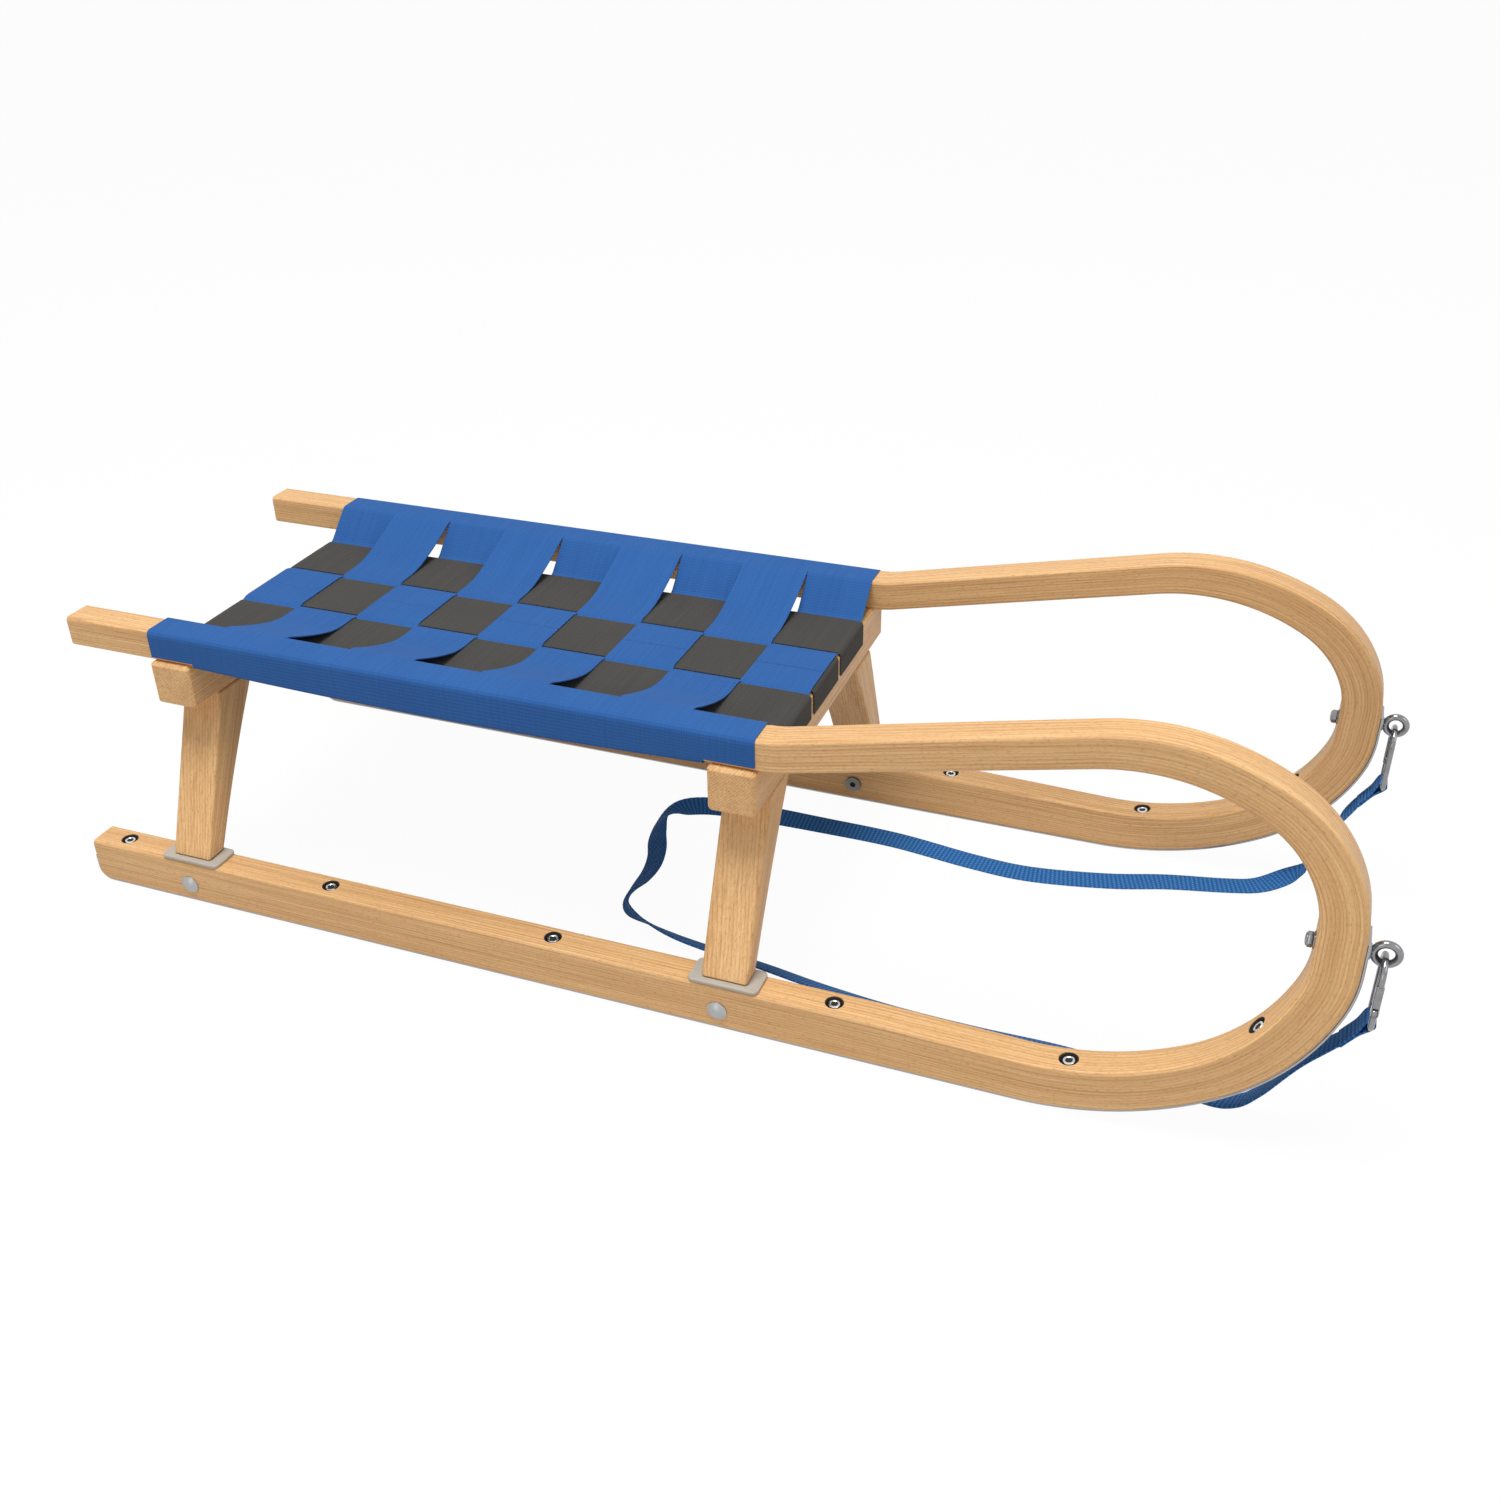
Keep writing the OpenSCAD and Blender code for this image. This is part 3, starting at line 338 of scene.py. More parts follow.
def band_outline(*edge):
    """Outline of a flat band from its edge inwards, in shares of half its width and its thickness."""
    upper = [(-a, b) for a, b in edge] + [(0, 0.5)] + list(reversed(edge))
    return upper + [(a, -b) for a, b in upper[-2:0:-1]]


def lay_grain(obj, place):
    """Keep where each point lies in the wood: along, across and through, in metres."""
    layer = obj.data.attributes.get("grain") or obj.data.attributes.new(
        "grain", "FLOAT_VECTOR", "POINT")
    for vertex, item in zip(obj.data.vertices, layer.data):
        item.vector = place(vertex.co)


def lay_weave(obj, spots):
    """Give a cloth its map, from the place of each of its points on the flat cloth."""
    layer = obj.data.uv_layers.new(name="weave")
    for loop, item in zip(obj.data.loops, layer.data):
        item.uv = [c * MM for c in spots[loop.vertex_index]]


def make_band(name, rings, spots, angle):
    """A woven band over rings, with the place of each ring's points on the flat band."""
    band = swept(name, rings)
    lay_weave(band, [spot for ring in spots for spot in ring])
    return shade_soft(band, angle)


def dress(obj, finish, slot, *nodes):
    """Give a piece its finish and hide the CAD nodes that it stands for; its slot is not used."""
    obj.data.materials.clear()
    obj.data.materials.append(finish)
    if nodes:
        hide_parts(*nodes)


def make_piece(obj, body, finish, slot, *nodes):
    """Hand a finished piece to its body and dress it."""
    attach(obj, body)
    dress(obj, finish, slot, *nodes)


def right_of(name):
    """The right side's name for a left piece, body or node."""
    return name.replace("left", "right")


def mirrored(obj):
    """The twin of a left piece on the right side of the sled."""
    twin = copied(obj, right_of(obj.name))
    twin.data.transform(Matrix.Scale(-1, 4, (0, 1, 0)))
    twin.data.flip_normals()
    return twin


def make_pair(obj, body, finish, slot, *nodes):
    """Hand over a left piece and its twin on the right."""
    make_piece(obj, body, finish, slot, *nodes)
    make_piece(mirrored(obj), right_of(body), finish, slot, *(right_of(node) for node in nodes))


# Shader values and finishes

class Value:
    """A shader socket that takes part in plain sums."""

    def __init__(self, nodes, socket):
        self.nodes, self.socket = nodes, socket

    def math(self, operation, *terms):
        """One Math node over values and numbers."""
        return self.nodes.node("ShaderNodeMath", {"operation": operation},
                               dict(enumerate(terms)))

    def __add__(self, other):
        return self.math("ADD", self, other)

    def __radd__(self, other):
        return self.math("ADD", other, self)

    def __sub__(self, other):
        return self.math("SUBTRACT", self, other)

    def __rsub__(self, other):
        return self.math("SUBTRACT", other, self)

    def __mul__(self, other):
        return self.math("MULTIPLY", self, other)

    def __rmul__(self, other):
        return self.math("MULTIPLY", other, self)

    def __pow__(self, other):
        return self.math("POWER", self, other)

    def __rpow__(self, other):
        return self.math("POWER", other, self)

    def at_least(self, other):
        """The larger one of two values."""
        return self.math("MAXIMUM", self, other)

    def clamp(self):
        """The value kept between 0 and 1."""
        return self.math("MINIMUM", self.at_least(0.0), 1.0)

    def wave(self):
        """A wave between 0 and 1 with a period of 2 pi."""
        return self.math("SINE", self) * 0.5 + 0.5

    def floor(self):
        """The whole number below a value."""
        return self.math("FLOOR", self)

    def part(self):
        """What is left of a value above its floor."""
        return self.math("FRACT", self)

    def output(self, name):
        """Another output of the same node."""
        return Value(self.nodes, self.socket.node.outputs[name])


class Nodes:
    """The nodes of a material or of the world."""

    def __init__(self, tree):
        self.tree = tree

    def fill(self, node, values):
        """Set or link the sockets of a node."""
        for key, value in values.items():
            if isinstance(value, Value):
                self.tree.links.new(value.socket, node.inputs[key])
            else:
                node.inputs[key].default_value = value

    def node(self, kind, settings=None, values=None, out=0):
        """Add a node with its settings and its sockets' values or links, and give one output."""
        made = self.tree.nodes.new(kind)
        for key, setting in (settings or {}).items():
            if key == "stops":
                ramp = made.color_ramp
                while len(ramp.elements) < len(setting):
                    ramp.elements.new(0.5)
                for element, (place, colour) in zip(ramp.elements, setting):
                    element.position, element.color = place, colour
            else:
                setattr(made, key, setting)
        self.fill(made, values or {})
        return Value(self, made.outputs[out])

    def show_white(self, output, lit, white, share=1.0):
        """Let the camera, mirrors and glass see one shader, and light the sled with another."""
        rays = self.node("ShaderNodeLightPath")
        seen = rays.output("Is Camera Ray").at_least(rays.output("Is Glossy Ray"))
        seen = seen.at_least(rays.output("Is Transmission Ray"))
        mixed = self.node("ShaderNodeMixShader", None, {0: seen * share, 1: lit, 2: white})
        self.fill(self.tree.nodes[output], {"Surface": mixed})

    def noise(self, place, scale, detail=2.0, roughness=0.5):
        """Noise over a place that is stretched by three numbers."""
        stretched = self.node("ShaderNodeVectorMath", {"operation": "MULTIPLY"},
                              {0: place, 1: scale})
        return self.node("ShaderNodeTexNoise", {"noise_dimensions": "3D"},
                         {"Vector": stretched, "Scale": 1.0, "Detail": detail,
                          "Roughness": roughness})

    def mix(self, factor, first, second):
        """Mix two colours."""
        return self.node("ShaderNodeMix", {"data_type": "RGBA"},
                         {0: factor, 6: first, 7: second}, out=2)

    def axis(self, place, index):
        """One of the three numbers of a place."""
        return self.node("ShaderNodeSeparateXYZ", None, {0: place}, out=index)


class Finish(Nodes):
    """A material round one shader, whose fixed numbers are set on the shader's own sockets."""

    def __init__(self, name, **fixed):
        self.material = bpy.data.materials.new(name)
        self.material.use_nodes = True
        super().__init__(self.material.node_tree)
        self.shader = self.tree.nodes["Principled BSDF"]
        for key, number in fixed.items():
            self.feed(key.replace("_", " "), number)

    def feed(self, key, value):
        """Set or link a socket of the shader."""
        self.fill(self.shader, {key: value})

    def bump(self, height, strength, distance):
        """Raise and lower the surface by a height, over a distance in millimetres."""
        self.feed("Normal", self.node("ShaderNodeBump", None, {
            "Height": height, "Strength": strength, "Distance": distance * MM}))


def srgb(red, green, blue, share=1.0):
    """A share of a colour as read off a screen, for the shader."""
    return tuple(share * (c / 12.92 if c <= 0.04045 else ((c + 0.055) / 1.055) ** 2.4)
                 for c in (red / 255, green / 255, blue / 255)) + (1.0,)


def beech():
    """Pale lacquered beech: growth rings round a far pith, fibres and short flecks."""
    rings_per_metre = 1000 / 2.1
    f = Finish("bent beech", IOR=1.45, Coat_Roughness=0.28, Specular_IOR_Level=0.35)
    grain = f.node("ShaderNodeAttribute", {"attribute_name": "grain"}, out=1)
    sway = (f.noise(grain, (6, 30, 30)) - 0.5) * 0.004
    across, through = f.axis(grain, 1) + sway, f.axis(grain, 2) + sway * 0.7
    radius = (across ** 2 + through ** 2) ** 0.5
    late = (radius * rings_per_metre).part() ** 2.5
    band = f.noise(grain, (2.5, 60, 60))
    streak = f.noise(grain, (5, 480, 480), 3.0, 0.6)
    fibre = f.noise(grain, (26, 2400, 2400), 2.0, 0.6)
    fleck = ((f.noise(grain, (240, 1300, 1300), 1.0) - 0.57) * 8).clamp()
    tone = band * 0.22 + streak * 0.48 + fibre * 0.34 - late * 0.15 - 0.005
    base = f.node("ShaderNodeValToRGB", {"stops": [
        (0.28, srgb(195, 142, 90)), (0.42, srgb(226, 175, 117)),
        (0.54, srgb(242, 195, 137)), (0.68, srgb(252, 212, 154))]}, {0: tone})
    f.feed("Base Color", f.mix(fleck * 0.42, base, srgb(172, 120, 76)))
    f.feed("Roughness", 0.42 + streak * 0.16)
    f.feed("Coat Weight", 0.06 + fibre * 0.1)
    f.bump(fibre * 0.5 + late * 0.4 - fleck * 0.5, 0.25, 0.2)
    return f.material


def per_metre(gap):
    """Turns of a wave along a metre, for a gap in millimetres between its crests."""
    return 2 * math.pi / (gap * MM)


def cloth(name, low, high, rib_gap):
    """Ribbed cloth on its own map, with its ribs in a row along the map's first direction."""
    f = Finish(name, Sheen_Weight=0.04, Sheen_Roughness=0.6, Specular_IOR_Level=0.12)
    where = f.node("ShaderNodeUVMap", {"uv_map": "weave"})
    uneven = f.noise(where, (120, 120, 1)) * 3.2
    ribs = (f.axis(where, 0) * per_metre(rib_gap) + uneven * 0.4).wave()
    picks = (f.axis(where, 1) * per_metre(rib_gap * 1.3) + uneven).wave()
    weave = ribs * 0.5 + picks * 0.5
    streak = f.noise(where, (330, 6, 1), 3.0, 0.6)
    cloud = f.noise(where, (14, 14, 1))
    speck = f.noise(where, (900, 900, 1), 1.5)
    # partly painted shade: the weave's share darkens the hollows between ribs and picks; streak,
    # cloud and speck are the cloth's own uneven tone
    tone = (weave * 0.34 + streak * 0.34 + cloud * 0.18 + speck * 0.22 - 0.04).clamp()
    f.feed("Base Color", f.mix(tone, low, high))
    f.feed("Roughness", 0.85 + speck * 0.1)
    f.bump(weave + streak * 0.4, 0.6, 0.25)
    return f.material


def tow_weave():
    """Blue strap of plain weave: rows of small raised squares, every other row set over by half."""
    row_gap, column_gap, thread_gap = 4.0, 3.3, 0.8
    turn = 2 * math.pi
    f = Finish("tow weave", Sheen_Weight=0.03, Specular_IOR_Level=0.15)
    where = f.node("ShaderNodeUVMap", {"uv_map": "weave"})
    across, along = f.axis(where, 0), f.axis(where, 1)
    row, column = along * (1 / (row_gap * MM)), across * (1 / (column_gap * MM))
    odd = (row.floor() * 0.5).part() * 2.0
    ridge = (row.part() * turn - turn / 4).wave() ** 1.3
    cell = ((column + odd * 0.5) * turn).wave()
    threads = (along * per_metre(thread_gap)).wave()
    speck = f.noise(where, (1300, 1300, 1), 1.5)
    cloud = f.noise(where, (30, 12, 1))
    # partly painted shade: the colour is darkest between the raised squares, in the weave's hollows;
    # speck and cloud are the strap's own uneven tone
    tone = (ridge * (cell * 0.72 + 0.22) + speck * 0.16 + cloud * 0.1 - 0.08).clamp()
    f.feed("Base Color", f.mix(tone, srgb(32, 88, 150), srgb(76, 140, 204)))
    f.feed("Roughness", 0.62 + speck * 0.2)
    f.bump(ridge * 0.7 + cell * 0.3 + threads * 0.15, 0.7, 0.35)
    return f.material


def metal(name, red, green, blue, rough, blotch, brushed=0.0, stretch=1):
    """Bare or plated steel; brushed steel has its marks stretched along x. A noise darkens the colour
    in patches by the blotch share: the metal's own mottle, and on the grey chrome also painted dark
    reflections.
    """
    f = Finish(name, Metallic=1.0)
    place = f.node("ShaderNodeTexCoord", out=3)
    mottle_and_dark_reflection = f.noise(place, (160 * stretch, 160, 160), 3.0, 0.6)
    fine = f.noise(place, (1400 * stretch, 1400, 1400), 2.0, 0.6)
    f.feed("Base Color", f.mix(mottle_and_dark_reflection, srgb(red, green, blue, 1 - blotch), srgb(red, green, blue)))
    f.feed("Roughness", rough + (mottle_and_dark_reflection - 0.5) * 0.16 + (fine - 0.5) * (0.1 + brushed))
    if brushed:
        f.bump(fine, 0.3 * brushed, 0.08)
    return f.material


def plastic(name, red, green, blue, rough=0.45):
    """Plain moulded or dyed plastic with a fine pebbled surface; it also makes the near-black painted
    shade laid in recesses.
    """
    f = Finish(name, IOR=1.46)
    place = f.node("ShaderNodeTexCoord", out=3)
    cloud = f.noise(place, (60, 60, 60), 3.0)
    pebble = f.noise(place, (1100, 1100, 1100))
    f.feed("Base Color", f.mix(cloud, srgb(red, green, blue, 0.93), srgb(red, green, blue)))
    f.feed("Roughness", rough + pebble * 0.12)
    f.bump(pebble, 0.15, 0.1)
    return f.material


BEECH = beech()
SEAT_BLUE = cloth("seat blue", srgb(30, 72, 136), srgb(62, 118, 188), 2.0)
WEBBING_GREY = cloth("grey webbing", srgb(48, 47, 46), srgb(90, 88, 84), 2.2)
TOW_BLUE = tow_weave()
THREAD = plastic("sewing thread", 96, 150, 208, 0.6)
# painted dark reflections: the chrome's grey base and its strong blotch stand in for the dark
# surroundings that it would mirror
CHROME = metal("bright plating", 160, 160, 162, 0.14, 0.45)
ZINC = metal("zinc plating", 188, 189, 188, 0.42, 0.3)
NUT_STEEL = metal("dull nut steel", 120, 117, 113, 0.45, 0.35)
ZINC_BRIGHT = metal("bright zinc", 226, 226, 224, 0.24, 0.2)
SKID_STEEL = metal("rolled skid steel", 176, 177, 180, 0.34, 0.22, 0.25, 0.06)
COLLAR = plastic("pale collar plastic", 192, 185, 173)
# painted shade: a near-black finish for the counterbores' cups and the sockets' floors, where shade
# falls
RECESS_SHADE = plastic("painted recess shade", 34, 32, 30, 0.7)


# Camera, floor, room and lamps

def place_camera():
    """A camera where the photograph was taken, with its turn, rise and roll in degrees."""
    place = (0.44905, -1.08796, 0.84270)
    turn, rise, roll = 21.3193, 30.8142, -1.0027
    back = Vector((sin(turn) * cos(rise), -cos(turn) * cos(rise), sin(rise)))
    right = (-back).cross(Vector((0, 0, 1))).normalized()
    up = right.cross(-back)
    across = cos(roll) * right + sin(roll) * up
    upright = cos(roll) * up - sin(roll) * right
    camera = bpy.data.cameras.new("camera")
    camera.sensor_fit, camera.sensor_width, camera.lens = "HORIZONTAL", 36, 36.864
    camera.clip_start, camera.clip_end = 0.05, 200
    holder = bpy.data.objects.new("camera", camera)
    bpy.context.collection.objects.link(holder)
    facing = Matrix((across, upright, back)).transposed().to_4x4()
    holder.matrix_world = Matrix.Translation(place) @ facing
    bpy.context.scene.camera = holder


def place_floor():
    """A white floor that keeps a soft shadow."""
    bpy.ops.mesh.primitive_plane_add(size=60, location=(0, 0, -0.6 * MM))
    floor = take("floor")
    f = Finish("white floor", Base_Color=(0.62, 0.62, 0.62, 1), Roughness=0.9,
               Specular_IOR_Level=0.1)
    white = f.node("ShaderNodeEmission", None, {"Color": WHITE, "Strength": 1.04})
    f.show_white("Material Output", Value(f, f.shader.outputs[0]), white, 0.92)
    floor.data.materials.append(f.material)


def place_room():
    """A dim room that lights the sled, with a white backdrop."""
    world = bpy.data.worlds.new("pale room")
    bpy.context.scene.world = world
    world.use_nodes = True
    nodes = Nodes(world.node_tree)
    room = nodes.tree.nodes["Background"]
    nodes.fill(room, {"Color": WHITE, "Strength": 0.31})
    backdrop = nodes.node("ShaderNodeBackground", None, {"Color": WHITE, "Strength": 1.0})
    nodes.show_white("World Output", Value(nodes, room.outputs[0]), backdrop)


def place_lamps():
    """Soft round lamps that point at the sled, with their power and size."""
    aim = Vector((0, 0, 0.1))
    for name, at, power, size in (("key lamp", (-0.2, -0.55, 3.0), 66, 1.5),
                                  ("front lamp", (2.6, -0.8, 1.8), 9, 1.6),
                                  ("side fill", (-0.5, -2.5, 0.7), 5, 1.4)):
        light = bpy.data.lights.new(name, "AREA")
        light.shape, light.size, light.energy = "DISK", size, power
        holder = bpy.data.objects.new(name, light)
        bpy.context.collection.objects.link(holder)
        holder.location = at
        holder.rotation_euler = (aim - Vector(at)).to_track_quat("-Z", "Y").to_euler()


place_camera()
place_floor()
place_room()
place_lamps()
bpy.context.scene.view_settings.view_transform = "Standard"


# The bent boards, with headings and slopes in degrees from level
LINE_STEP = 2.0  # most degrees of a bend between two points
HORN_RISE = 12.4  # slope of the board in front of the seat
HORN_END, SHOULDER_END = 30, 70  # slopes downwards where the horn's bends end
CHIN_START, TOE_START = 110, 150
RISE_R, HORN_R, SHOULDER_R, NOSE_R, TOE_R = 90, 179, 105, 90, 254
NOSE_FLAT = 23.1  # straight part of the nose
TAPER_L, TAPER_STEPS = 120, 12  # behind the toe the runner grows to its full thickness
SCREW_DISTANCES = (33, 254, 475, 725)  # of the skid's straight part, from the heel
SCREW_TURNS = (7.3, 52.0)  # degrees up from level of those on the bend
BOARD_BEVEL = 2.2
END_BEVEL = 1.2  # on the rails' ends
HEEL_DRAW = 2.0  # how far the runners' edges draw in at the heel


def bend(start, radius, first, last):
    """Points round a bend; the radius is minus where it turns down."""
    n = max(1, math.ceil(abs(last - first) / LINE_STEP))
    turns = [first + (last - first) * i / n for i in range(1, n + 1)]
    return [(start[0] + radius * (sin(h) - sin(first)),
             start[1] + radius * (cos(first) - cos(h)), h) for h in turns]


def bends_down(start, radii, turns):
    """Points round several bends in a row, each between two of the headings."""
    points = [start]
    for radius, first, last in zip(radii, turns, turns[1:]):
        points += bend(points[-1], -radius, first, last)
    return points[1:]


def board_line():
    """The middle line as (x, z, heading), from the rail's rear end round the horn to the toe.

    It also gives the line's highest place and the eyebolt's, both as z.
    """
    rail_z = SEAT_TOP - RAIL_T / 2
    line = [(REAR_X + RAIL_INSET, rail_z, 0)]
    line += [(x, rail_z, 0) for x in range(-550, 90, 10)]
    line.append((SEAT_FRONT, rail_z, 0))
    line += bend(line[-1], RISE_R, 0, HORN_RISE)
    x, z, _ = line[-1]
    ahead = (HORN_R * (sin(HORN_RISE) + sin(HORN_END))
             + SHOULDER_R * (sin(SHOULDER_END) - sin(HORN_END))
             + NOSE_R * (1 - sin(SHOULDER_END)))
    climb = NOSE_X - x - ahead
    line += [(x + climb * i / 12, z + climb * i / 12 * math.tan(math.radians(HORN_RISE)),
              HORN_RISE) for i in range(1, 13)]
    apex = line[-1][1] + HORN_R * (1 - cos(HORN_RISE))
    line += bends_down(line[-1], (HORN_R, SHOULDER_R, NOSE_R),
                       (HORN_RISE, -HORN_END, -SHOULDER_END, -90))
    nose_top = line[-1][1]
    line += [(NOSE_X, nose_top - NOSE_FLAT * i / 3, -90) for i in (1, 2, 3)]
    chin_drop = (nose_top - NOSE_FLAT - TOE_Z - NOSE_R * sin(CHIN_START - 90)
                 - TOE_R * (1 - cos(180 - TOE_START)))
    chin_r = chin_drop / (cos(180 - TOE_START) - cos(180 - CHIN_START))
    line += bends_down(line[-1], (NOSE_R, chin_r, TOE_R),
                       (-90, -CHIN_START, -TOE_START, -180))
    return line, apex, nose_top - NOSE_FLAT / 2


LINE, APEX_Z, EYE_Z = board_line()
TOE_X = LINE[-1][0]


def board_thick(h):
    """Thickness of a bent part of the board at a heading."""
    stops = [(-180, TOE_T), (-TOE_START, 34.5), (-90, NOSE_T), (-HORN_END, 30.5),
             (HORN_RISE, RAIL_T)]
    if h <= -180:
        return TOE_T
    for (h0, t0), (h1, t1) in zip(stops, stops[1:]):
        if h <= h1:
            return t0 + (t1 - t0) * (h - h0) / (h1 - h0)
    return RAIL_T


def board_across(z, h):
    """Middle of the board across the sled; from the horn down it leans out to the runner."""
    if h >= 0:
        return RAIL_Y
    if h <= -180:
        return RUNNER_Y
    return RAIL_Y + (RUNNER_Y - RAIL_Y) * (APEX_Z - z) / (APEX_Z - TOE_Z)


EYE_Y = board_across(EYE_Z, -90)

Section = namedtuple("Section", "x z heading thick across draw")


def heel_point(turn):
    """A place on the heel's round underside, from 0 at the bottom to 90 degrees at the rear."""
    return REAR_X + HEEL_R * (1 - sin(turn)), SKID_T + HEEL_R * (1 - cos(turn))


def board_sections():
    """Sections of a board, with their thickness, place across and how far their edges draw in."""
    sections = [Section(x, z, h, board_thick(h) if h else RAIL_T, board_across(z, h), 0.0)
                for x, z, h in LINE]
    for i in range(1, TAPER_STEPS + 1):
        thick = TOE_T + (RUNNER_T - TOE_T) * i / TAPER_STEPS
        sections.append(Section(TOE_X - TAPER_L * i / TAPER_STEPS, SKID_T + thick / 2, -180,
                                thick, RUNNER_Y, 0.0))
    sections += [Section(x, RUNNER_Z, -180, RUNNER_T, RUNNER_Y, 0.0)
                 for x in range(180, -540, -20)]
    for turn in range(0, 91, 5):
        x, bottom = heel_point(turn)
        draw = max(0.0, HEEL_DRAW - (x - REAR_X))
        top = RUNNER_TOP - draw
        sections.append(Section(x, (top + bottom) / 2, -180, top - bottom, RUNNER_Y, draw))
    return sections


SECTIONS = board_sections()


def middle_line():
    """The middles of all sections, kept level through the heel, with the length up to each."""
    line, reach = [], 0.0
    for k, s in enumerate(SECTIONS):
        z = s.z if k < len(LINE) + TAPER_STEPS else RUNNER_Z
        if line:
            reach += math.hypot(s.x - line[-1][0], z - line[-1][1])
        line.append((s.x, z, s.heading, reach, s.across))
    return line


MIDDLE_LINE = middle_line()


def on_line(x, z):
    """Where a point lies along the board and off its middle, and that middle's place across."""
    px, pz, h, reach, y = min(MIDDLE_LINE, key=lambda m: (m[0] - x) ** 2 + (m[1] - z) ** 2)
    return (reach + (x - px) * cos(h) + (z - pz) * sin(h),
            (z - pz) * cos(h) - (x - px) * sin(h), y)


def outward(h):
    """Direction out of the board's bends: up from the rail and down from the runner."""
    return -sin(h), cos(h)


def off_middle(s, depth, side=1):
    """The place so far outwards from the middle of a section."""
    out = outward(s.heading)
    return (s.x + out[0] * depth, side * s.across, s.z + out[1] * depth)


def ring_at(s, outline, side=1, depth=0):
    """An outline of (across, outwards) laid round a section."""
    out = outward(s.heading)
    return [(s.x + out[0] * (depth + q[1]), side * (s.across + q[0]),
             s.z + out[1] * (depth + q[1])) for q in outline]


def board_ring(s, side):
    """Bevelled outline of a board at a section, with the bevel's own edges softened."""
    w, t, c, soft = BOARD_W / 2 - s.draw, s.thick / 2, BOARD_BEVEL, 0.7
    d = soft / math.sqrt(2)
    corner = [(w, t - c - soft), (w - d, t - c + d), (w - c + d, t - d), (w - c - soft, t)]
    ring = corner + [(-a, b) for a, b in reversed(corner)]
    ring += [(-a, -b) for a, b in ring[:4]] + [(a, -b) for a, b in reversed(corner)]
    return ring_at(s, ring, side)


def skid_screw_places():
    """The sections at the six screws of a side: four on the straight runner, two on the bend."""
    places = [Section(REAR_X + d, RUNNER_Z, -180, RUNNER_T, RUNNER_Y, 0.0)
              for d in SCREW_DISTANCES]
    bent = [s for s in SECTIONS[:len(LINE)] if s.heading < -100]
    return places + [min(bent, key=lambda s: abs(s.heading + 180 - turn))
                     for turn in SCREW_TURNS]


SCREWS = skid_screw_places()


def make_boards():
    """Two bent boards with counterbores for the skid screws, and growth rings of their own."""
    pith_across, pith_through = 0.112, 0.155  # metres from the board's middle
    for side, word, seed in ((1, "left", 0.0), (-1, "right", 3.7)):
        end = SECTIONS[0]
        ends = [end._replace(thick=end.thick - 2 * END_BEVEL, draw=END_BEVEL),
                end._replace(x=end.x + END_BEVEL)]
        board = swept(word + "_board", [board_ring(s, side) for s in ends + SECTIONS[1:]])
        bore = turned("bore", [(BORE_R, -6), (BORE_R, 0)], 40)
        stands = [(off_middle(s, BORE_DEPTH - s.thick / 2, side),
                   (outward(s.heading)[0], 0, outward(s.heading)[1])) for s in SCREWS]
        combined(board, repeated("bores", bore, stands), "DIFFERENCE")
        smooth(board, 30)

        def place(co, side=side, seed=seed):
            along, through, y = on_line(co.x / MM, co.z / MM)
            across = side * co.y / MM - y
            return (along * MM + seed, across * MM + pith_across, through * MM + pith_through)

        lay_grain(board, place)
        make_piece(board, "sled", BEECH, "beech_wood", word + "_runner")


# Beams, legs and collars
BEAM_OVERHANG = 5  # how far the beams reach past the rails
FOOT_Z = RUNNER_TOP + COLLAR_T
FOOT_Y, FOOT_T = RUNNER_Y - 1.3, 21.5  # middle and thickness of a leg's foot
HEAD_OUT, HEAD_T = RAIL_Y - 16, 46.7  # outer edge and thickness of its head
LEG_BOW = 3  # how far its inner edge bows outwards halfway up
COLLAR_L, COLLAR_W = 61, 29.5


def make_beams():
    """Two square beams with bevelled edges."""
    pith_across, pith_through = 0.085, -0.115  # metres from the beam's middle and bottom
    half = RAIL_Y + BOARD_W / 2 + BEAM_OVERHANG
    for x, where, seed in ((REAR_LEG_X, "rear", 7.1), (FRONT_LEG_X, "front", 9.4)):
        beam = block(where + "_beam", (x - BEAM / 2, -half, BEAM_BOTTOM),
                     (x + BEAM / 2, half, BEAM_TOP))
        round_edges(beam, 2.5, 1, 60)
        round_edges(beam, 0.45, 2, 30)
        smooth(beam)
        lay_grain(beam, lambda co, x=x, seed=seed: (
            co.y + seed, co.x - x * MM + pith_across, co.z - BEAM_BOTTOM * MM + pith_through))
        make_piece(beam, "sled", BEECH, "beech_wood", where + "_cross_beam")


def leg_edges(z):
    """Outer and inner edge of a leg at a height, in front view."""
    s = (z - FOOT_Z) / (BEAM_BOTTOM - FOOT_Z)
    foot_out, foot_in = FOOT_Y + FOOT_T / 2, FOOT_Y - FOOT_T / 2
    outer = foot_out + (HEAD_OUT - foot_out) * s
    inner = foot_in + (HEAD_OUT - HEAD_T - foot_in) * s + LEG_BOW * 4 * s * (1 - s)
    return outer, inner


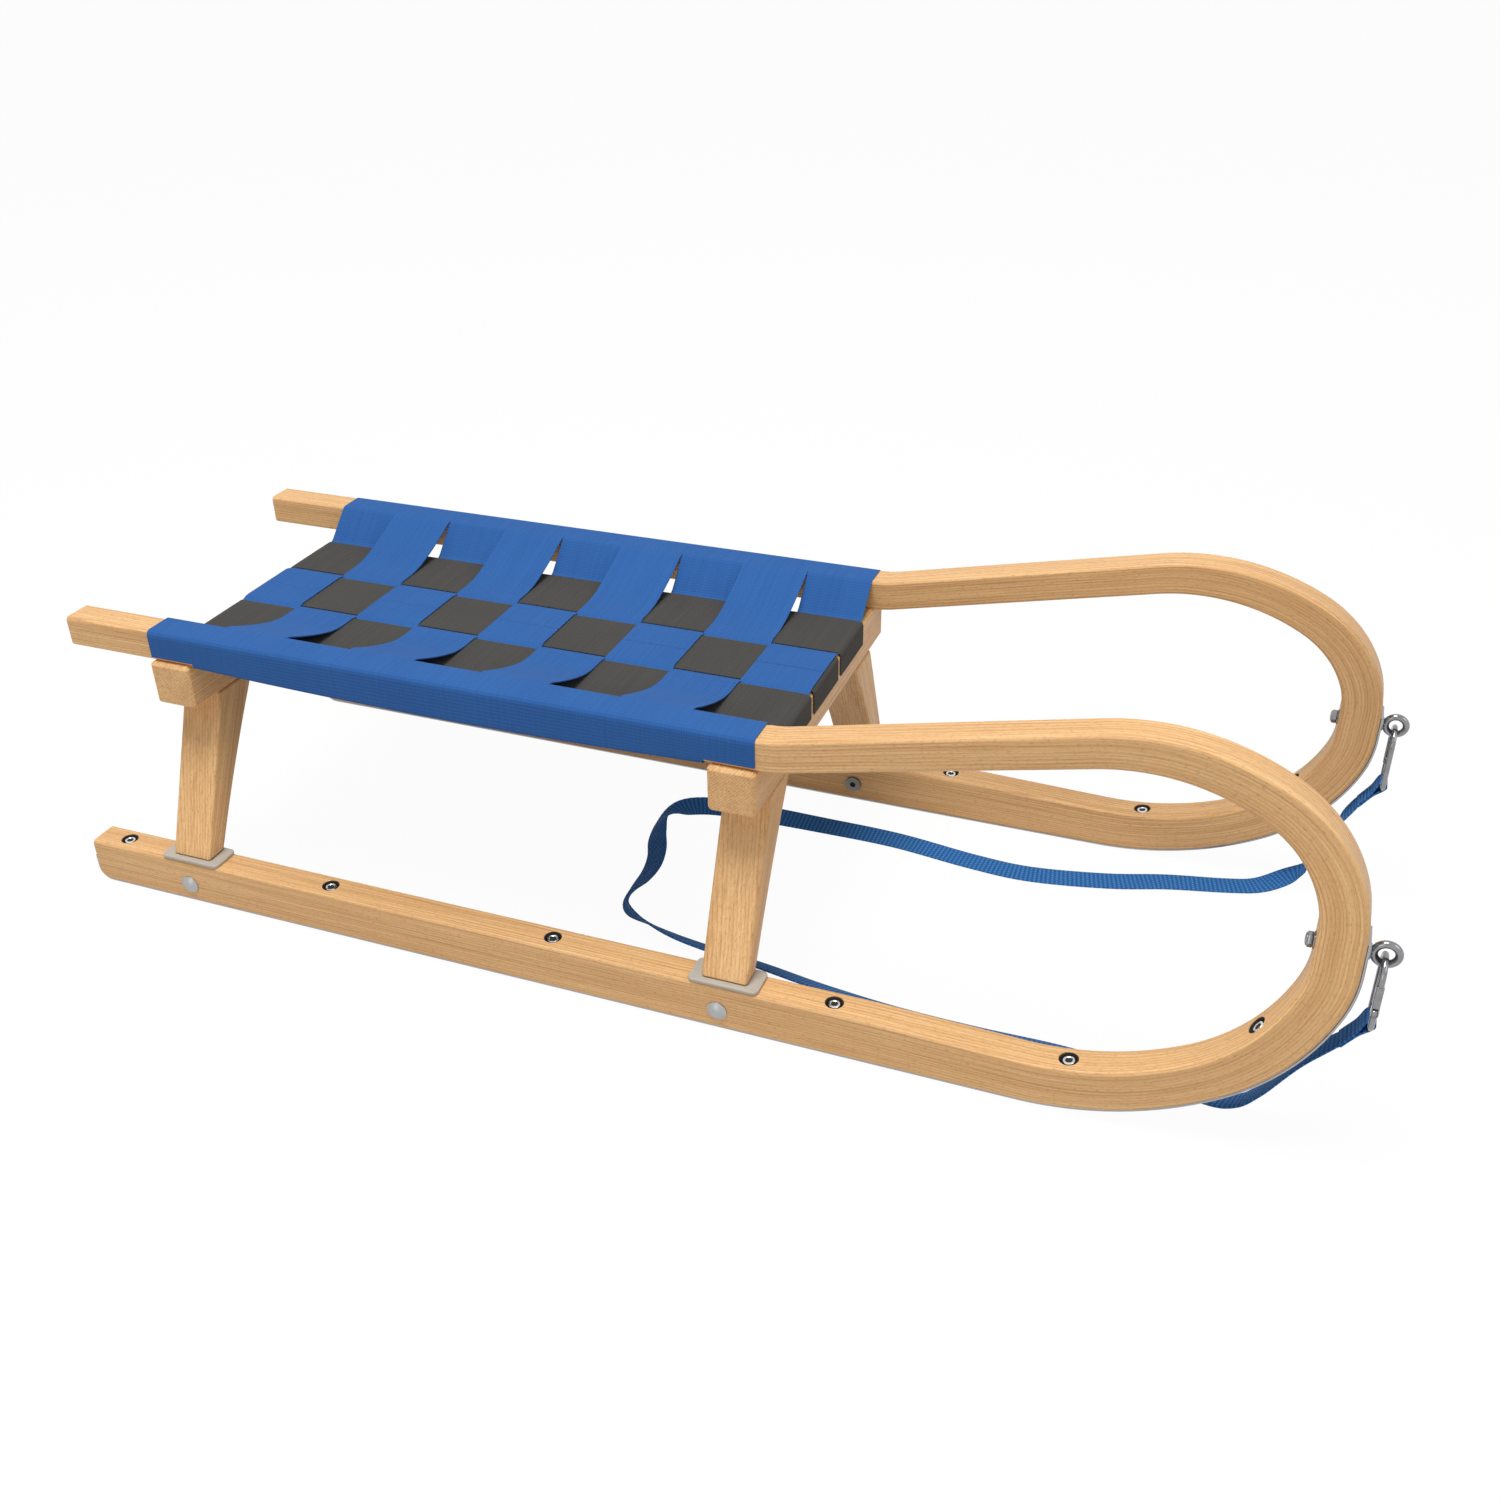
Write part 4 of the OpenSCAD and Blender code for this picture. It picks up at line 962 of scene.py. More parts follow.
def make_legs():
    """Posts that widen towards the beams and lean in, with a bowed inner edge."""
    slices = 12
    axis = Vector((0, HEAD_OUT - HEAD_T / 2 - FOOT_Y, BEAM_BOTTOM - FOOT_Z)).normalized()
    cross = Vector((0, axis.z, -axis.y))
    for x, where, seed in ((REAR_LEG_X, "rear", 1.3), (FRONT_LEG_X, "front", 5.9)):
        leg = block(where + "_left_post", (x - LEG_W / 2, 0, FOOT_Z),
                    (x + LEG_W / 2, 1, BEAM_BOTTOM))
        with Editing(leg):
            for i in range(1, slices):
                bpy.ops.mesh.select_all(action="SELECT")
                z = FOOT_Z + (BEAM_BOTTOM - FOOT_Z) * i / slices
                bpy.ops.mesh.bisect(plane_co=(0, 0, z * MM), plane_no=(0, 0, 1))
        for v in leg.data.vertices:
            outer, inner = leg_edges(v.co.z / MM)
            v.co.y = (outer if v.co.y > 0.5 * MM else inner) * MM
        leg.data.update()
        round_edges(leg, 2.4, 3, 50)
        smooth(leg)
        for side, word in ((1, "left"), (-1, "right")):
            piece = leg if side > 0 else mirrored(leg)

            def place(co, side=side, x=x, seed=seed):
                off = Vector((co.x - x * MM, side * co.y - FOOT_Y * MM, co.z - FOOT_Z * MM))
                return (off.dot(axis) + seed + side, off.x + 0.13 + 0.02 * side,
                        off.dot(cross) + 0.12)

            lay_grain(piece, place)
            make_piece(piece, "sled", BEECH, "beech_wood", f"{where}_{word}_leg")


def make_collars():
    """Plates with round corners, and a rim round the leg's foot."""
    corner_r, edge, rim, dip = 5, 2.2, 1.2, 0.55
    for x, where in ((REAR_LEG_X, "rear"), (FRONT_LEG_X, "front")):
        plate = block(where + "_left_plate",
                      (x - COLLAR_L / 2, RUNNER_Y - COLLAR_W / 2, RUNNER_TOP),
                      (x + COLLAR_L / 2, RUNNER_Y + COLLAR_W / 2, FOOT_Z))
        with Editing(plate, "EDGE") as edit:
            edit.pick(lambda e: abs((e.verts[0].co - e.verts[1].co).z) > 1 * MM)
            bpy.ops.mesh.bevel(offset=corner_r * MM, segments=8)
        with Editing(plate) as edit:
            edit.pick(lambda f: f.normal.z > 0.9)
            bpy.ops.mesh.inset(thickness=edge * MM)
            bpy.ops.mesh.inset(thickness=rim * MM)
            bpy.ops.transform.translate(value=(0, 0, -dip * MM))
        round_edges(plate, 1.0, 4, 50)
        smooth(plate, 40)
        make_pair(plate, "sled", COLLAR, "collar_plate", where + "_left_collar")


# Skids and their screws
SKID_BEVEL = 0.45
SKID_END_Z = 26  # height of the skid's turned up rear end
SCREW_SINK = 0.12  # how deep the screws' heads lie in the skid


def make_skids():
    """A strip with bevelled edges from the nose back under the runner and up at the heel."""
    w, t, c = SKID_W / 2, SKID_T, SKID_BEVEL
    outline = [(-w + c, 0), (w - c, 0), (w, c), (w, t - c), (w - c, t), (-w + c, t),
               (-w, t - c), (-w, c)]
    nose = next(i for i, point in enumerate(LINE) if point[2] == -90)
    rings = [ring_at(s, outline, depth=s.thick / 2)
             for s in SECTIONS[nose:len(LINE) + TAPER_STEPS]]
    for turn in range(0, 91, 5):
        x, z = heel_point(turn)
        rings.append([(x - q[1] * sin(turn), RUNNER_Y + q[0], z - q[1] * cos(turn))
                      for q in outline])
    rings.append([(REAR_X - q[1], RUNNER_Y + q[0], SKID_END_Z) for q in outline])
    skid = smooth(swept("left_skid_strip", rings), 30)
    make_pair(skid, "sled", SKID_STEEL, "skid_steel", "left_skid")


def make_skid_screws():
    """Heads under the skid, and nuts and washers in the counterbores on top, with near-black cups of
    painted shade lining the counterbores and darkening the screws' ends.
    """
    head = turned("head", [(1.2, 0.5), (4.7, 0.5), (4.95, 0.35), (4.95, 0.12), (4.6, -0.02),
                           (3.2, -0.02), (2.9, 0.1), (2.4, 1.1), (2.2, 1.5), (0.2, 1.5)], 40)
    nut = turned("nut", [(4.9, -0.2), (5.4, 0.3), (5.5, 0.6), (5.5, 3.1), (5.3, 3.7),
                         (4.6, 4.4), (3.4, 4.6), (2.9, 4.3), (2.6, 3.6)], 12)
    washer = turned("washer", [(7.2, -0.1), (7.3, 0.05), (7.3, 0.55), (7.1, 0.7)], 40)
    # painted shade: the near-black cup lines a counterbore round its nut, and the tip darkens the
    # screw's end in the nut's hole, where the bore is shaded
    cup = turned("cup", [(7.55, 0.1), (7.6, 0.3), (7.6, 5.1), (7.4, 5.3), (6.9, 5.2),
                         (6.6, 4.4), (6.4, 1.2), (6.4, 0.8)], 40)
    tip = turned("tip", [(2.5, 1), (2.5, 3.9), (2.2, 4.4), (0.3, 4.5)], 24)
    under, inside = [], []
    for s in SCREWS:
        inward = (-outward(s.heading)[0], 0, -outward(s.heading)[1])
        under.append((off_middle(s, s.thick / 2 + SKID_T - SCREW_SINK), inward))
        inside.append((off_middle(s, BORE_DEPTH - s.thick / 2), inward))
    for name, part, stands, angle, finish, nodes in (
            ("left_bore_cups", joined("cup", [cup, tip]), inside, 35, RECESS_SHADE, ()),
            ("left_screw_heads", head, under, 40, ZINC, ("left_skid_screws",)),
            ("left_bore_nuts", joined("nut", [nut, washer]), inside, 35, ZINC_BRIGHT,
             ("left_skid_nuts",))):
        piece = smooth(repeated(name, part, stands), angle)
        make_pair(piece, "sled", finish, "zinc_steel", *nodes)


def make_leg_bolts():
    """Domed bolt heads outside the runners, and sleeve nuts with a six-sided socket inside, each
    socket's floor a near-black disc of painted shade.
    """
    places = [REAR_LEG_X - BOLT_BACK, FRONT_LEG_X - BOLT_BACK]
    outside = [((x, RUNNER_Y + BOARD_W / 2, BOLT_Z), (0, 1, 0)) for x in places]
    inside = [((x, RUNNER_Y - BOARD_W / 2, BOLT_Z), (0, -1, 0)) for x in places]
    dome = turned("dome", [(8.3, 0.0), (8.65, 0.12), (8.75, 0.5), (8.6, 0.95), (8.1, 1.2),
                           (7.7, 1.15), (7.4, 1.35), (6.9, 1.85), (6.0, 2.5), (4.8, 3.15),
                           (3.4, 3.65), (1.8, 3.93), (0.2, 4.0)], 56)
    flange = turned("flange", [(7.2, 0.0), (7.8, 0.1), (8.0, 0.5), (8.0, 1.9), (7.7, 2.5),
                               (7.0, 2.8), (3.9, 2.8)], 56)
    combined(flange, turned("socket", [(3.2, 0.6), (3.2, 4.0)], 6), "DIFFERENCE")
    # painted shade: a near-black disc at the floor of each nut's socket, where the socket is shaded
    floor = turned("painted_socket_shade", [(3.0, 0.62), (3.0, 0.8), (2.4, 0.82)], 6)
    make_pair(repeated("left_nut_sockets", floor, inside), "sled", RECESS_SHADE, "zinc_steel")
    make_pair(smooth(repeated("left_bolt_domes", dome, outside), 40), "sled", ZINC,
              "zinc_steel", "left_leg_bolts")
    make_pair(smooth(repeated("left_sleeve_nuts", flange, inside), 35), "sled", NUT_STEEL,
              "zinc_steel", "left_leg_nuts")


# Tow rings and hooks
HOOK_GAP = 0.3  # between the ring's wire and the hook's wire in it
HOOK_Z = EYE_Z - RING_R + RING_WIRE / 2 + HOOK_GAP + HOOK_WIRE / 2  # the hook's pivot
PIN_V = 16 - HOOK_H  # height of the gate's pin from the pivot
FOOT_R = 4  # bends of the hook's wire at its foot
GATE_W = 4


def make_eyebolts():
    """A ring with its collar in front of the nose, and a washer and a domed nut behind it."""
    bpy.ops.mesh.primitive_torus_add(major_radius=RING_R * MM, minor_radius=RING_WIRE / 2 * MM,
                                     major_segments=72, minor_segments=28,
                                     location=(RING_X * MM, EYE_Y * MM, EYE_Z * MM),
                                     rotation=(math.pi / 2, 0, 0))
    ring = take("left_tow_ring")
    neck = turned("neck", [(2.9, -1), (5.7, 0.02), (6.0, 0.3), (6.0, 1.2), (5.6, 1.5),
                           (4.2, 1.6), (3.1, 2.3), (2.7, 3.4)], 48)
    combined(ring, stand(neck, (FRONT_X, EYE_Y, EYE_Z), (1, 0, 0)), "UNION")
    make_pair(smooth(ring, 40), "sled", CHROME, "bright_chrome", "left_eyebolt")

    washer = turned("left_ring_washer", [(3, 0), (6.3, 0), (6.5, 0.2), (6.5, 1.0), (6.3, 1.2),
                                         (5.5, 1.2)], 48)
    nut = turned("left_cap_nut", [(5.0, 1.2), (5.6, 1.5), (5.75, 1.9), (5.75, 4.5),
                                  (5.5, 5.0), (4.9, 5.4)], 6)
    cap = turned("cap", [(4.85, 5.2), (4.85, 5.5), (4.6, 5.9), (3.9, 6.3), (2.7, 6.6),
                         (1.3, 6.76), (0.2, 6.8)], 40)
    combined(nut, cap, "UNION")
    back = FRONT_X - SKID_T - NOSE_T
    for obj, node in ((washer, "left_eyebolt_washer"), (nut, "left_eyebolt_nut")):
        stand(obj, (back, EYE_Y, EYE_Z), (-1, 0, 0))
        make_pair(smooth(obj, 35), "sled", CHROME, "bright_chrome", node)


def hook_point(u, v, out=0.0):
    """A place in the hook's plane: outwards across the sled and up from its pivot."""
    return (RING_X + out, EYE_Y + u, HOOK_Z + v)


def gate_block(name, depth, low, high, soft, segments, out=0.0):
    """A block on the gate's side of the hook, between two heights."""
    obj = block(name, hook_point(HOOK_R - GATE_W / 2, low, out - depth / 2),
                hook_point(HOOK_R + GATE_W / 2, high, out + depth / 2))
    return round_edges(obj, soft, segments)


def make_hooks():
    """A bent wire with an ear for the gate's pin, a gate with two ears, and the pin."""
    foot, side = FOOT_R - HOOK_H, HOOK_R - FOOT_R
    pin_at, forwards = hook_point(HOOK_R, PIN_V), (1, 0, 0)
    path = [(HOOK_R, -15)] + arc((0, -HOOK_R), HOOK_R, 0, 180, 32)
    path += [(-HOOK_R, -20), (-HOOK_R, -35), (-HOOK_R, foot)]
    path += arc((-side, foot), FOOT_R, 180, 270, 8)[1:] + [(0, -HOOK_H)]
    path += arc((side, foot), FOOT_R, 270, 360, 8) + [(HOOK_R, PIN_V - 3.5)]
    bow = wire("left_hook_wire", [hook_point(u, v) for u, v in path], HOOK_WIRE / 2, 24)
    ear = turned("ear", [(2.6, -1.5), (3.0, -1.45), (3.2, -1.2), (3.2, 1.2), (3.0, 1.45),
                         (2.6, 1.5)], 32)
    neck = gate_block("neck", 3, PIN_V - 4.5, PIN_V, 0.4, 2)
    bow = joined("left_hook_wire", [bow, stand(ear, pin_at, forwards), neck])

    parts = [gate_block("left_gate_bar", 5.4, PIN_V + 3.7, -15.3, 1.1, 4)]
    for out in (-2.2, 2.2):
        ear = turned("gate_ear", [(2.8, -0.5), (3.2, -0.35), (3.2, 0.35), (2.8, 0.5)], 32)
        parts += [stand(ear, hook_point(HOOK_R, PIN_V, out), forwards),
                  gate_block("lug", 1, PIN_V, PIN_V + 5, 0.25, 2, out)]
    gate = joined("left_gate_bar", parts)
    pin = turned("left_gate_rivet", [(0.7, -2.7), (1.0, -2.5), (1.0, 2.5), (0.7, 2.7)], 24)
    stand(pin, pin_at, forwards)
    for obj, body, node in ((bow, "left_hook", "left_hook"), (gate, "left_gate", "left_hook_gate"),
                            (pin, "left_gate", "left_gate_pin")):
        make_pair(smooth(obj, 40), body, CHROME, "bright_chrome", node)


# Woven seat: strips of the cloth cross three straps of webbing, over one and under the next
STRIPS, SLIT, CLOTH_T = 9, 0.25, 0.9
STRIP_L = (SEAT_FRONT - SEAT_REAR) / STRIPS
CLOTH_INSET = 1.3  # from the beams' outer faces to the cloth's ends
WEB_W, WEB_T, WEB_Y = 65.0, 1.2, 72.0  # the outer straps' middles are at WEB_Y and -WEB_Y
WEB_IN, WEB_OUT = WEB_Y - WEB_W / 2, WEB_Y + WEB_W / 2
UNDER_Z, WEB_Z, OVER_Z = 233.3, 234.7, 236.1
WRAP_TOP, WRAP_OUT, WRAP_IN = 260.6, 165.1, 135.4  # the cloth's middle round a rail
LAP_W = 20  # the cloth's lap under a rail
LAP_Z = BEAM_TOP - 0.6
LAP_TOP = 236.0  # the lap's rows end here
LAP_GAP = 24  # the lap keeps this far from the beams' middles
LAP_R, WRAP_R = 2.6, 5.5  # bends of the cloth under a rail and over its outer edge
DROOP = 5.0  # the lap's loose hang between the beams
RAMP_END = 60  # place across where a strip from the rail comes down on the first strap
TOP_BOW, UNDER_BOW = 0.5, -0.4  # bows of a strip over and under a strap
SPREAD = 0.8
ROWS = 62  # rows of a strip in half the seat
MAP_EDGE = 360  # the cloth's two edges lie at plus and minus this on its map


def seat_columns():
    """The cloth's columns along the sled, as (x, strip)."""
    columns = []
    for i in range(STRIPS):
        start = SEAT_REAR + i * STRIP_L + (SLIT / 2 if i else CLOTH_INSET)
        end = SEAT_REAR + (i + 1) * STRIP_L - (SLIT / 2 if i < STRIPS - 1 else CLOTH_INSET)
        columns += [(start + (end - start) * k / 10, i) for k in range(11)]
    return columns


def wrap_outline():
    """The cloth round a rail, in front view, and how many of its points belong to the lap."""
    side_z = 245
    wrap = rounded([(WRAP_OUT - LAP_W, LAP_Z), (WRAP_OUT, LAP_Z), (WRAP_OUT, side_z)], LAP_R)
    wrap += rounded([(WRAP_OUT, side_z), (WRAP_OUT, WRAP_TOP), (WRAP_IN + 2.4, WRAP_TOP)],
                    WRAP_R, 8)[1:]
    lap = spaced([p for p in wrap if p.y < LAP_TOP], 12)
    rest = [Vector((WRAP_OUT, LAP_TOP))] + [p for p in wrap if p.y > LAP_TOP + 0.01]
    return lap + spaced(rest[:2], 4) + rest[2:-1] + spaced(rest[-2:], 6)[1:], len(lap)


def strip_outlines(start):
    """Half of a strip, in front view, that first goes under a strap, and of one that goes over."""
    drop, way = WRAP_TOP - OVER_Z, WRAP_IN - RAMP_END
    ramp = [(WRAP_IN - s * way, WRAP_TOP - d * drop)
            for s, d in ((0.05, 0.04), (0.2, 0.25), (0.52, 0.64), (0.8, 0.91), (1, 1))]
    under = rounded([start, (WRAP_IN + 0.4, WRAP_TOP - 0.4), (WEB_OUT + 3, UNDER_Z),
                     (WEB_IN, UNDER_Z), (WEB_W / 2, OVER_Z), (0, OVER_Z)], 4.0, 6)
    over = rounded([start] + ramp + [(WEB_IN, OVER_Z), (WEB_W / 2, UNDER_Z), (0, UNDER_Z)],
                   12.0, 6)
    return spaced(under, ROWS), spaced(over, ROWS)


def bulge(y, strip):
    """How far a strip bows away from the strap that it crosses."""
    for middle, top_bow in ((-WEB_Y, 0.0), (0.0, TOP_BOW), (WEB_Y, 0.0)):
        t = (y - middle) / (WEB_W / 2)
        if abs(t) < 1:
            on_top = (strip % 2 == 0) == (middle == 0.0)
            return (top_bow if on_top else UNDER_BOW) * (1 - t * t)
    return 0.0


def droop(x, y, z):
    """How far the cloth hangs loose below a rail, most between the beams."""
    along = (x - (REAR_LEG_X + FRONT_LEG_X) / 2) / ((FRONT_LEG_X - REAR_LEG_X) / 2 - LAP_GAP)
    free = (min(1.0, max(0.0, (y - WRAP_OUT + LAP_W) / 14))
            * min(1.0, max(0.0, (252 - z) / 16)))
    return DROOP * max(0.0, 1 - along * along) * free


def widened(t, y, strip):
    """How far a strip spreads at t of its half width between two straps, which closes the slit."""
    at_end = (strip == 0 and t < 0) or (strip == STRIPS - 1 and t > 0)
    return 0.0 if at_end else SPREAD * t * max(0.0, 1 - ((y - WEB_Y / 2) / 6) ** 2)


def make_seat_cloth():
    """One cloth: it wraps both rails, and its strips go from wrap to wrap across the seat."""
    columns = seat_columns()
    wrap, lap_rows = wrap_outline()
    wrap_reach = reach_along(wrap)
    points, spots, faces, ends = [], [], [], {}

    def add(place, x, side, reach):
        """One more point, with its place along and across the flat cloth."""
        points.append(place)
        spots.append((x, side * (MAP_EDGE - reach)))
        return len(points) - 1

    for side in (1, -1):
        grid = [[add((x, side * p.x, p.y - droop(x, p.x, p.y)), x, side, reach)
                 for p, reach in zip(wrap, wrap_reach)] for x, _ in columns]
        ends[side] = [column[-1] for column in grid]
        for c in range(len(columns) - 1):
            lapped = (columns[c][0] > REAR_LEG_X + LAP_GAP
                      and columns[c + 1][0] < FRONT_LEG_X - LAP_GAP)
            for r in range(0 if lapped else lap_rows, len(wrap) - 1):
                face = (grid[c][r], grid[c + 1][r], grid[c + 1][r + 1], grid[c][r + 1])
                faces.append(face[::side])

    halves = strip_outlines(wrap[-1])
    for i in range(STRIPS):
        half = halves[i % 2]
        across = [(1, p, wrap_reach[-1] + reach) for p, reach in zip(half, reach_along(half))]
        across += [(-1, p, reach) for _, p, reach in across[-2::-1]]
        own = [c for c, (_, strip) in enumerate(columns) if strip == i]
        grid = []
        for n, c in enumerate(own):
            x, t = columns[c][0], 2 * n / (len(own) - 1) - 1
            bow = (1 - t * t) ** 0.5
            grid.append([ends[1][c]] + [
                add((x + widened(t, p.x, i), side * p.x, p.y + bulge(side * p.x, i) * bow),
                    x, side, reach) for side, p, reach in across[1:-1]] + [ends[-1][c]])
        for left, right in zip(grid, grid[1:]):
            faces += zip(left, right, right[1:], left[1:])

    cloth_piece = new_mesh("woven_seat_cloth", points, faces)
    lay_weave(cloth_piece, spots)
    with Editing(cloth_piece):
        bpy.ops.mesh.select_all(action="SELECT")
        bpy.ops.mesh.delete_loose(use_verts=True, use_edges=True, use_faces=False)
        face_outwards()
    thick = cloth_piece.modifiers.new("cloth", "SOLIDIFY")
    thick.thickness, thick.offset = CLOTH_T * MM, 0.0
    thick.use_even_offset = True
    finish_modifiers(cloth_piece)
    shade_soft(cloth_piece, 50)
    make_piece(cloth_piece, "sled", SEAT_BLUE, "seat_cloth", "seat_fabric")
    length = 2 * (wrap_reach[-1] + reach_along(halves[0])[-1])


def make_webbing():
    """Three straps that lie flat through the strips and turn down over the beams."""
    proud = 0.9  # the straps' middle in front of the front beam and behind the rear one
    rear, front = SEAT_REAR - proud, SEAT_FRONT + proud
    fold, steps, half_w = 3.6, 144, 32.4
    first, last = rear + fold, front - fold
    path = [(rear, BEAM_TOP - 20 + 4 * i) for i in range(5)]
    path += arc((first, WEB_Z - fold), fold, 180, 90, 6)
    path += [(first + (last - first) * i / steps, WEB_Z) for i in range(1, steps)]
    path += arc((last, WEB_Z - fold), fold, 90, 0, 6)
    path += [(front, BEAM_TOP - 4 - 4 * i) for i in range(5)]
    path = [Vector(p) for p in path]
    reaches = reach_along(path)
    outline = band_outline((1, 0), (0.99, 0.42), (0.5, 0.5))
    for row, name in ((1, "left"), (0, "middle"), (-1, "right")):
        rings, spots = [], []
        for i, p in enumerate(path):
            along = heading(path, i)
            face = Vector((-along.y, along.x))
            lift = 0.0
            if first < p.x < last:
                strip, t = divmod((p.x - SEAT_REAR) / STRIP_L, 1)
                on_top = (strip % 2 == 0) == (row != 0)
                lift = (0.32 if on_top else -0.2) * (1 - (2 * t - 1) ** 2)
            ring = []
            for across, height in outline:
                off = height * WEB_T + lift * (1 - across * across * 0.7)
                ring.append((p.x + face.x * off, row * WEB_Y + across * half_w,
                             p.y + face.y * off))
            rings.append(ring)
            spots.append([(reaches[i], point[1]) for point in ring])
        strap = make_band(name + "_webbing", rings, spots, 50)
        make_piece(strap, "sled", WEBBING_GREY, "grey_webbing", "seat_strap_" + name)


# Tow strap and its loops
LOOP_DIR = Vector((-0.57, -0.82)).normalized()  # the loops hang back from the hooks, in (x, z)
LOOP_FACE = Vector((-LOOP_DIR.y, LOOP_DIR.x))
BAR = Vector((RING_X, HOOK_Z - HOOK_H))  # the hook's lowest wire
LOOP_HALF_W, LOOP_T = 8.8, 1.35
STRAP_T = 1.5
TOW_START = BAR + LOOP_DIR * 28.4
HANG = TOW_START.y
NARROW, FULL = 17.6, 22  # widths of the strap at its loops and elsewhere
REAR_TURN = 19  # the two cords meet at this point of the route
GLIDE_STEPS = 6

# From the left hook round the rear turn to the right hook: x, y, z, tilt in degrees, width
ROUTE = [
    (TOW_START.x, EYE_Y, HANG, 0, NARROW), (523, 165, 0.77 * HANG, 0, 21),
    (514, 168, 0.46 * HANG, 0, FULL), (505, 172, 0.2 * HANG, 0, FULL),
    (490, 170, 7, 0, FULL), (467, 153, 2.5, 0, FULL), (440, 143, 2, 0, FULL),
    (386, 130, 2, -2, FULL), (334, 113, 2, -3, FULL), (265, 100, 2, -3, FULL),
    (209, 102, 2, -3, FULL), (131, 112, 2.2, -5, FULL), (54, 112, 3, -8, FULL),
    (-10, 110, 4, -14, FULL), (-55, 104, 6, -18, FULL), (-82, 88, 8.5, -12, FULL),
    (-93, 62, 9.5, 45, FULL), (-86, 32, 9.5, 35, FULL), (-75, 6, 9.5, 31, FULL),
    (-69, -20, 9.5, 28, FULL), (-69, -46, 9.5, 34, FULL), (-70, -70, 10.4, 60, FULL),
    (-60, -88, 11.6, 101, FULL), (-38, -98, 9.8, 131, FULL), (-8, -106, 7.8, 146, FULL),
    (30, -112, 7, 151, FULL), (80, -118, 6.5, 152, FULL), (134, -127, 6.5, 152, FULL),
    (200, -134, 6.5, 152, FULL), (268, -136, 6.5, 152, FULL), (340, -135, 6.5, 152, FULL),
    (410, -142, 6.2, 155, FULL), (455, -153, 7, 164, FULL),
    (477, -157, 0.158 * HANG, 172, FULL), (491, -159, 0.336 * HANG, 178, FULL),
    (505, -161, 0.572 * HANG, 180, FULL), (521, -164, 0.829 * HANG, 180, 21),
    (TOW_START.x, -EYE_Y, HANG, 180, NARROW)]


def glide(a, b, c, d, t):
    """A smooth curve from b to c, which lies between a and d."""
    return tuple(0.5 * (2 * q + (r - p) * t + (2 * p - 5 * q + 4 * r - s) * t * t
                        + (3 * q - p - 3 * r + s) * t ** 3) for p, q, r, s in zip(a, b, c, d))


def tow_line():
    """The route with points in between."""
    last, out = len(ROUTE) - 1, []
    for i in range(last):
        a, b, c, d = (ROUTE[max(0, min(last, j))] for j in (i - 1, i, i + 1, i + 2))
        out += [glide(a, b, c, d, k / GLIDE_STEPS) for k in range(GLIDE_STEPS)]
    return out + [ROUTE[-1]]


def make_tow_strap():
    """Two cords that meet in the rear turn, each running from its hook round to the turn."""
    line = tow_line()
    places = [Vector(p[:3]) for p in line]
    middle = REAR_TURN * GLIDE_STEPS
    drop = Vector((LOOP_DIR.x, 0, LOOP_DIR.y))
    reach = reach_along(places)
    outline = band_outline((1, 0), (0.985, 0.36), (0.95, 0.5), (0.5, 0.5))
    ahead = [heading(places, i) for i in range(len(places))]
    ahead[0], ahead[-1] = drop, -drop
    rings, spots = [], []
    for p, along, (_, _, _, tilt, width), done in zip(places, ahead, line, reach):
        level = Vector((-along.y, along.x, 0)).normalized()
        rise = along.cross(level)
        side = cos(tilt) * level + sin(tilt) * rise
        face = cos(tilt) * rise - sin(tilt) * level
        rings.append([p + q[0] * width / 2 * side + q[1] * STRAP_T * face for q in outline])
        spots.append([(q[0] * width / 2, done) for q in outline])
    for word, sign, part, length in (
            ("left", 1, slice(None, middle + 1), reach[middle]),
            ("right", -1, slice(middle, None), reach[-1] - reach[middle])):
        strap = make_band(word + "_tow_strap", rings[part], spots[part], 45)
        dress(strap, TOW_BLUE, "tow_webbing", "tow_strap")
        route = [[c * MM for c in p] for p in places[part][::sign]]
        word + "_hook"
        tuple(route[0])
        sign * 0.165
        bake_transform(strap)
        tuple(route[0])
        length * MM


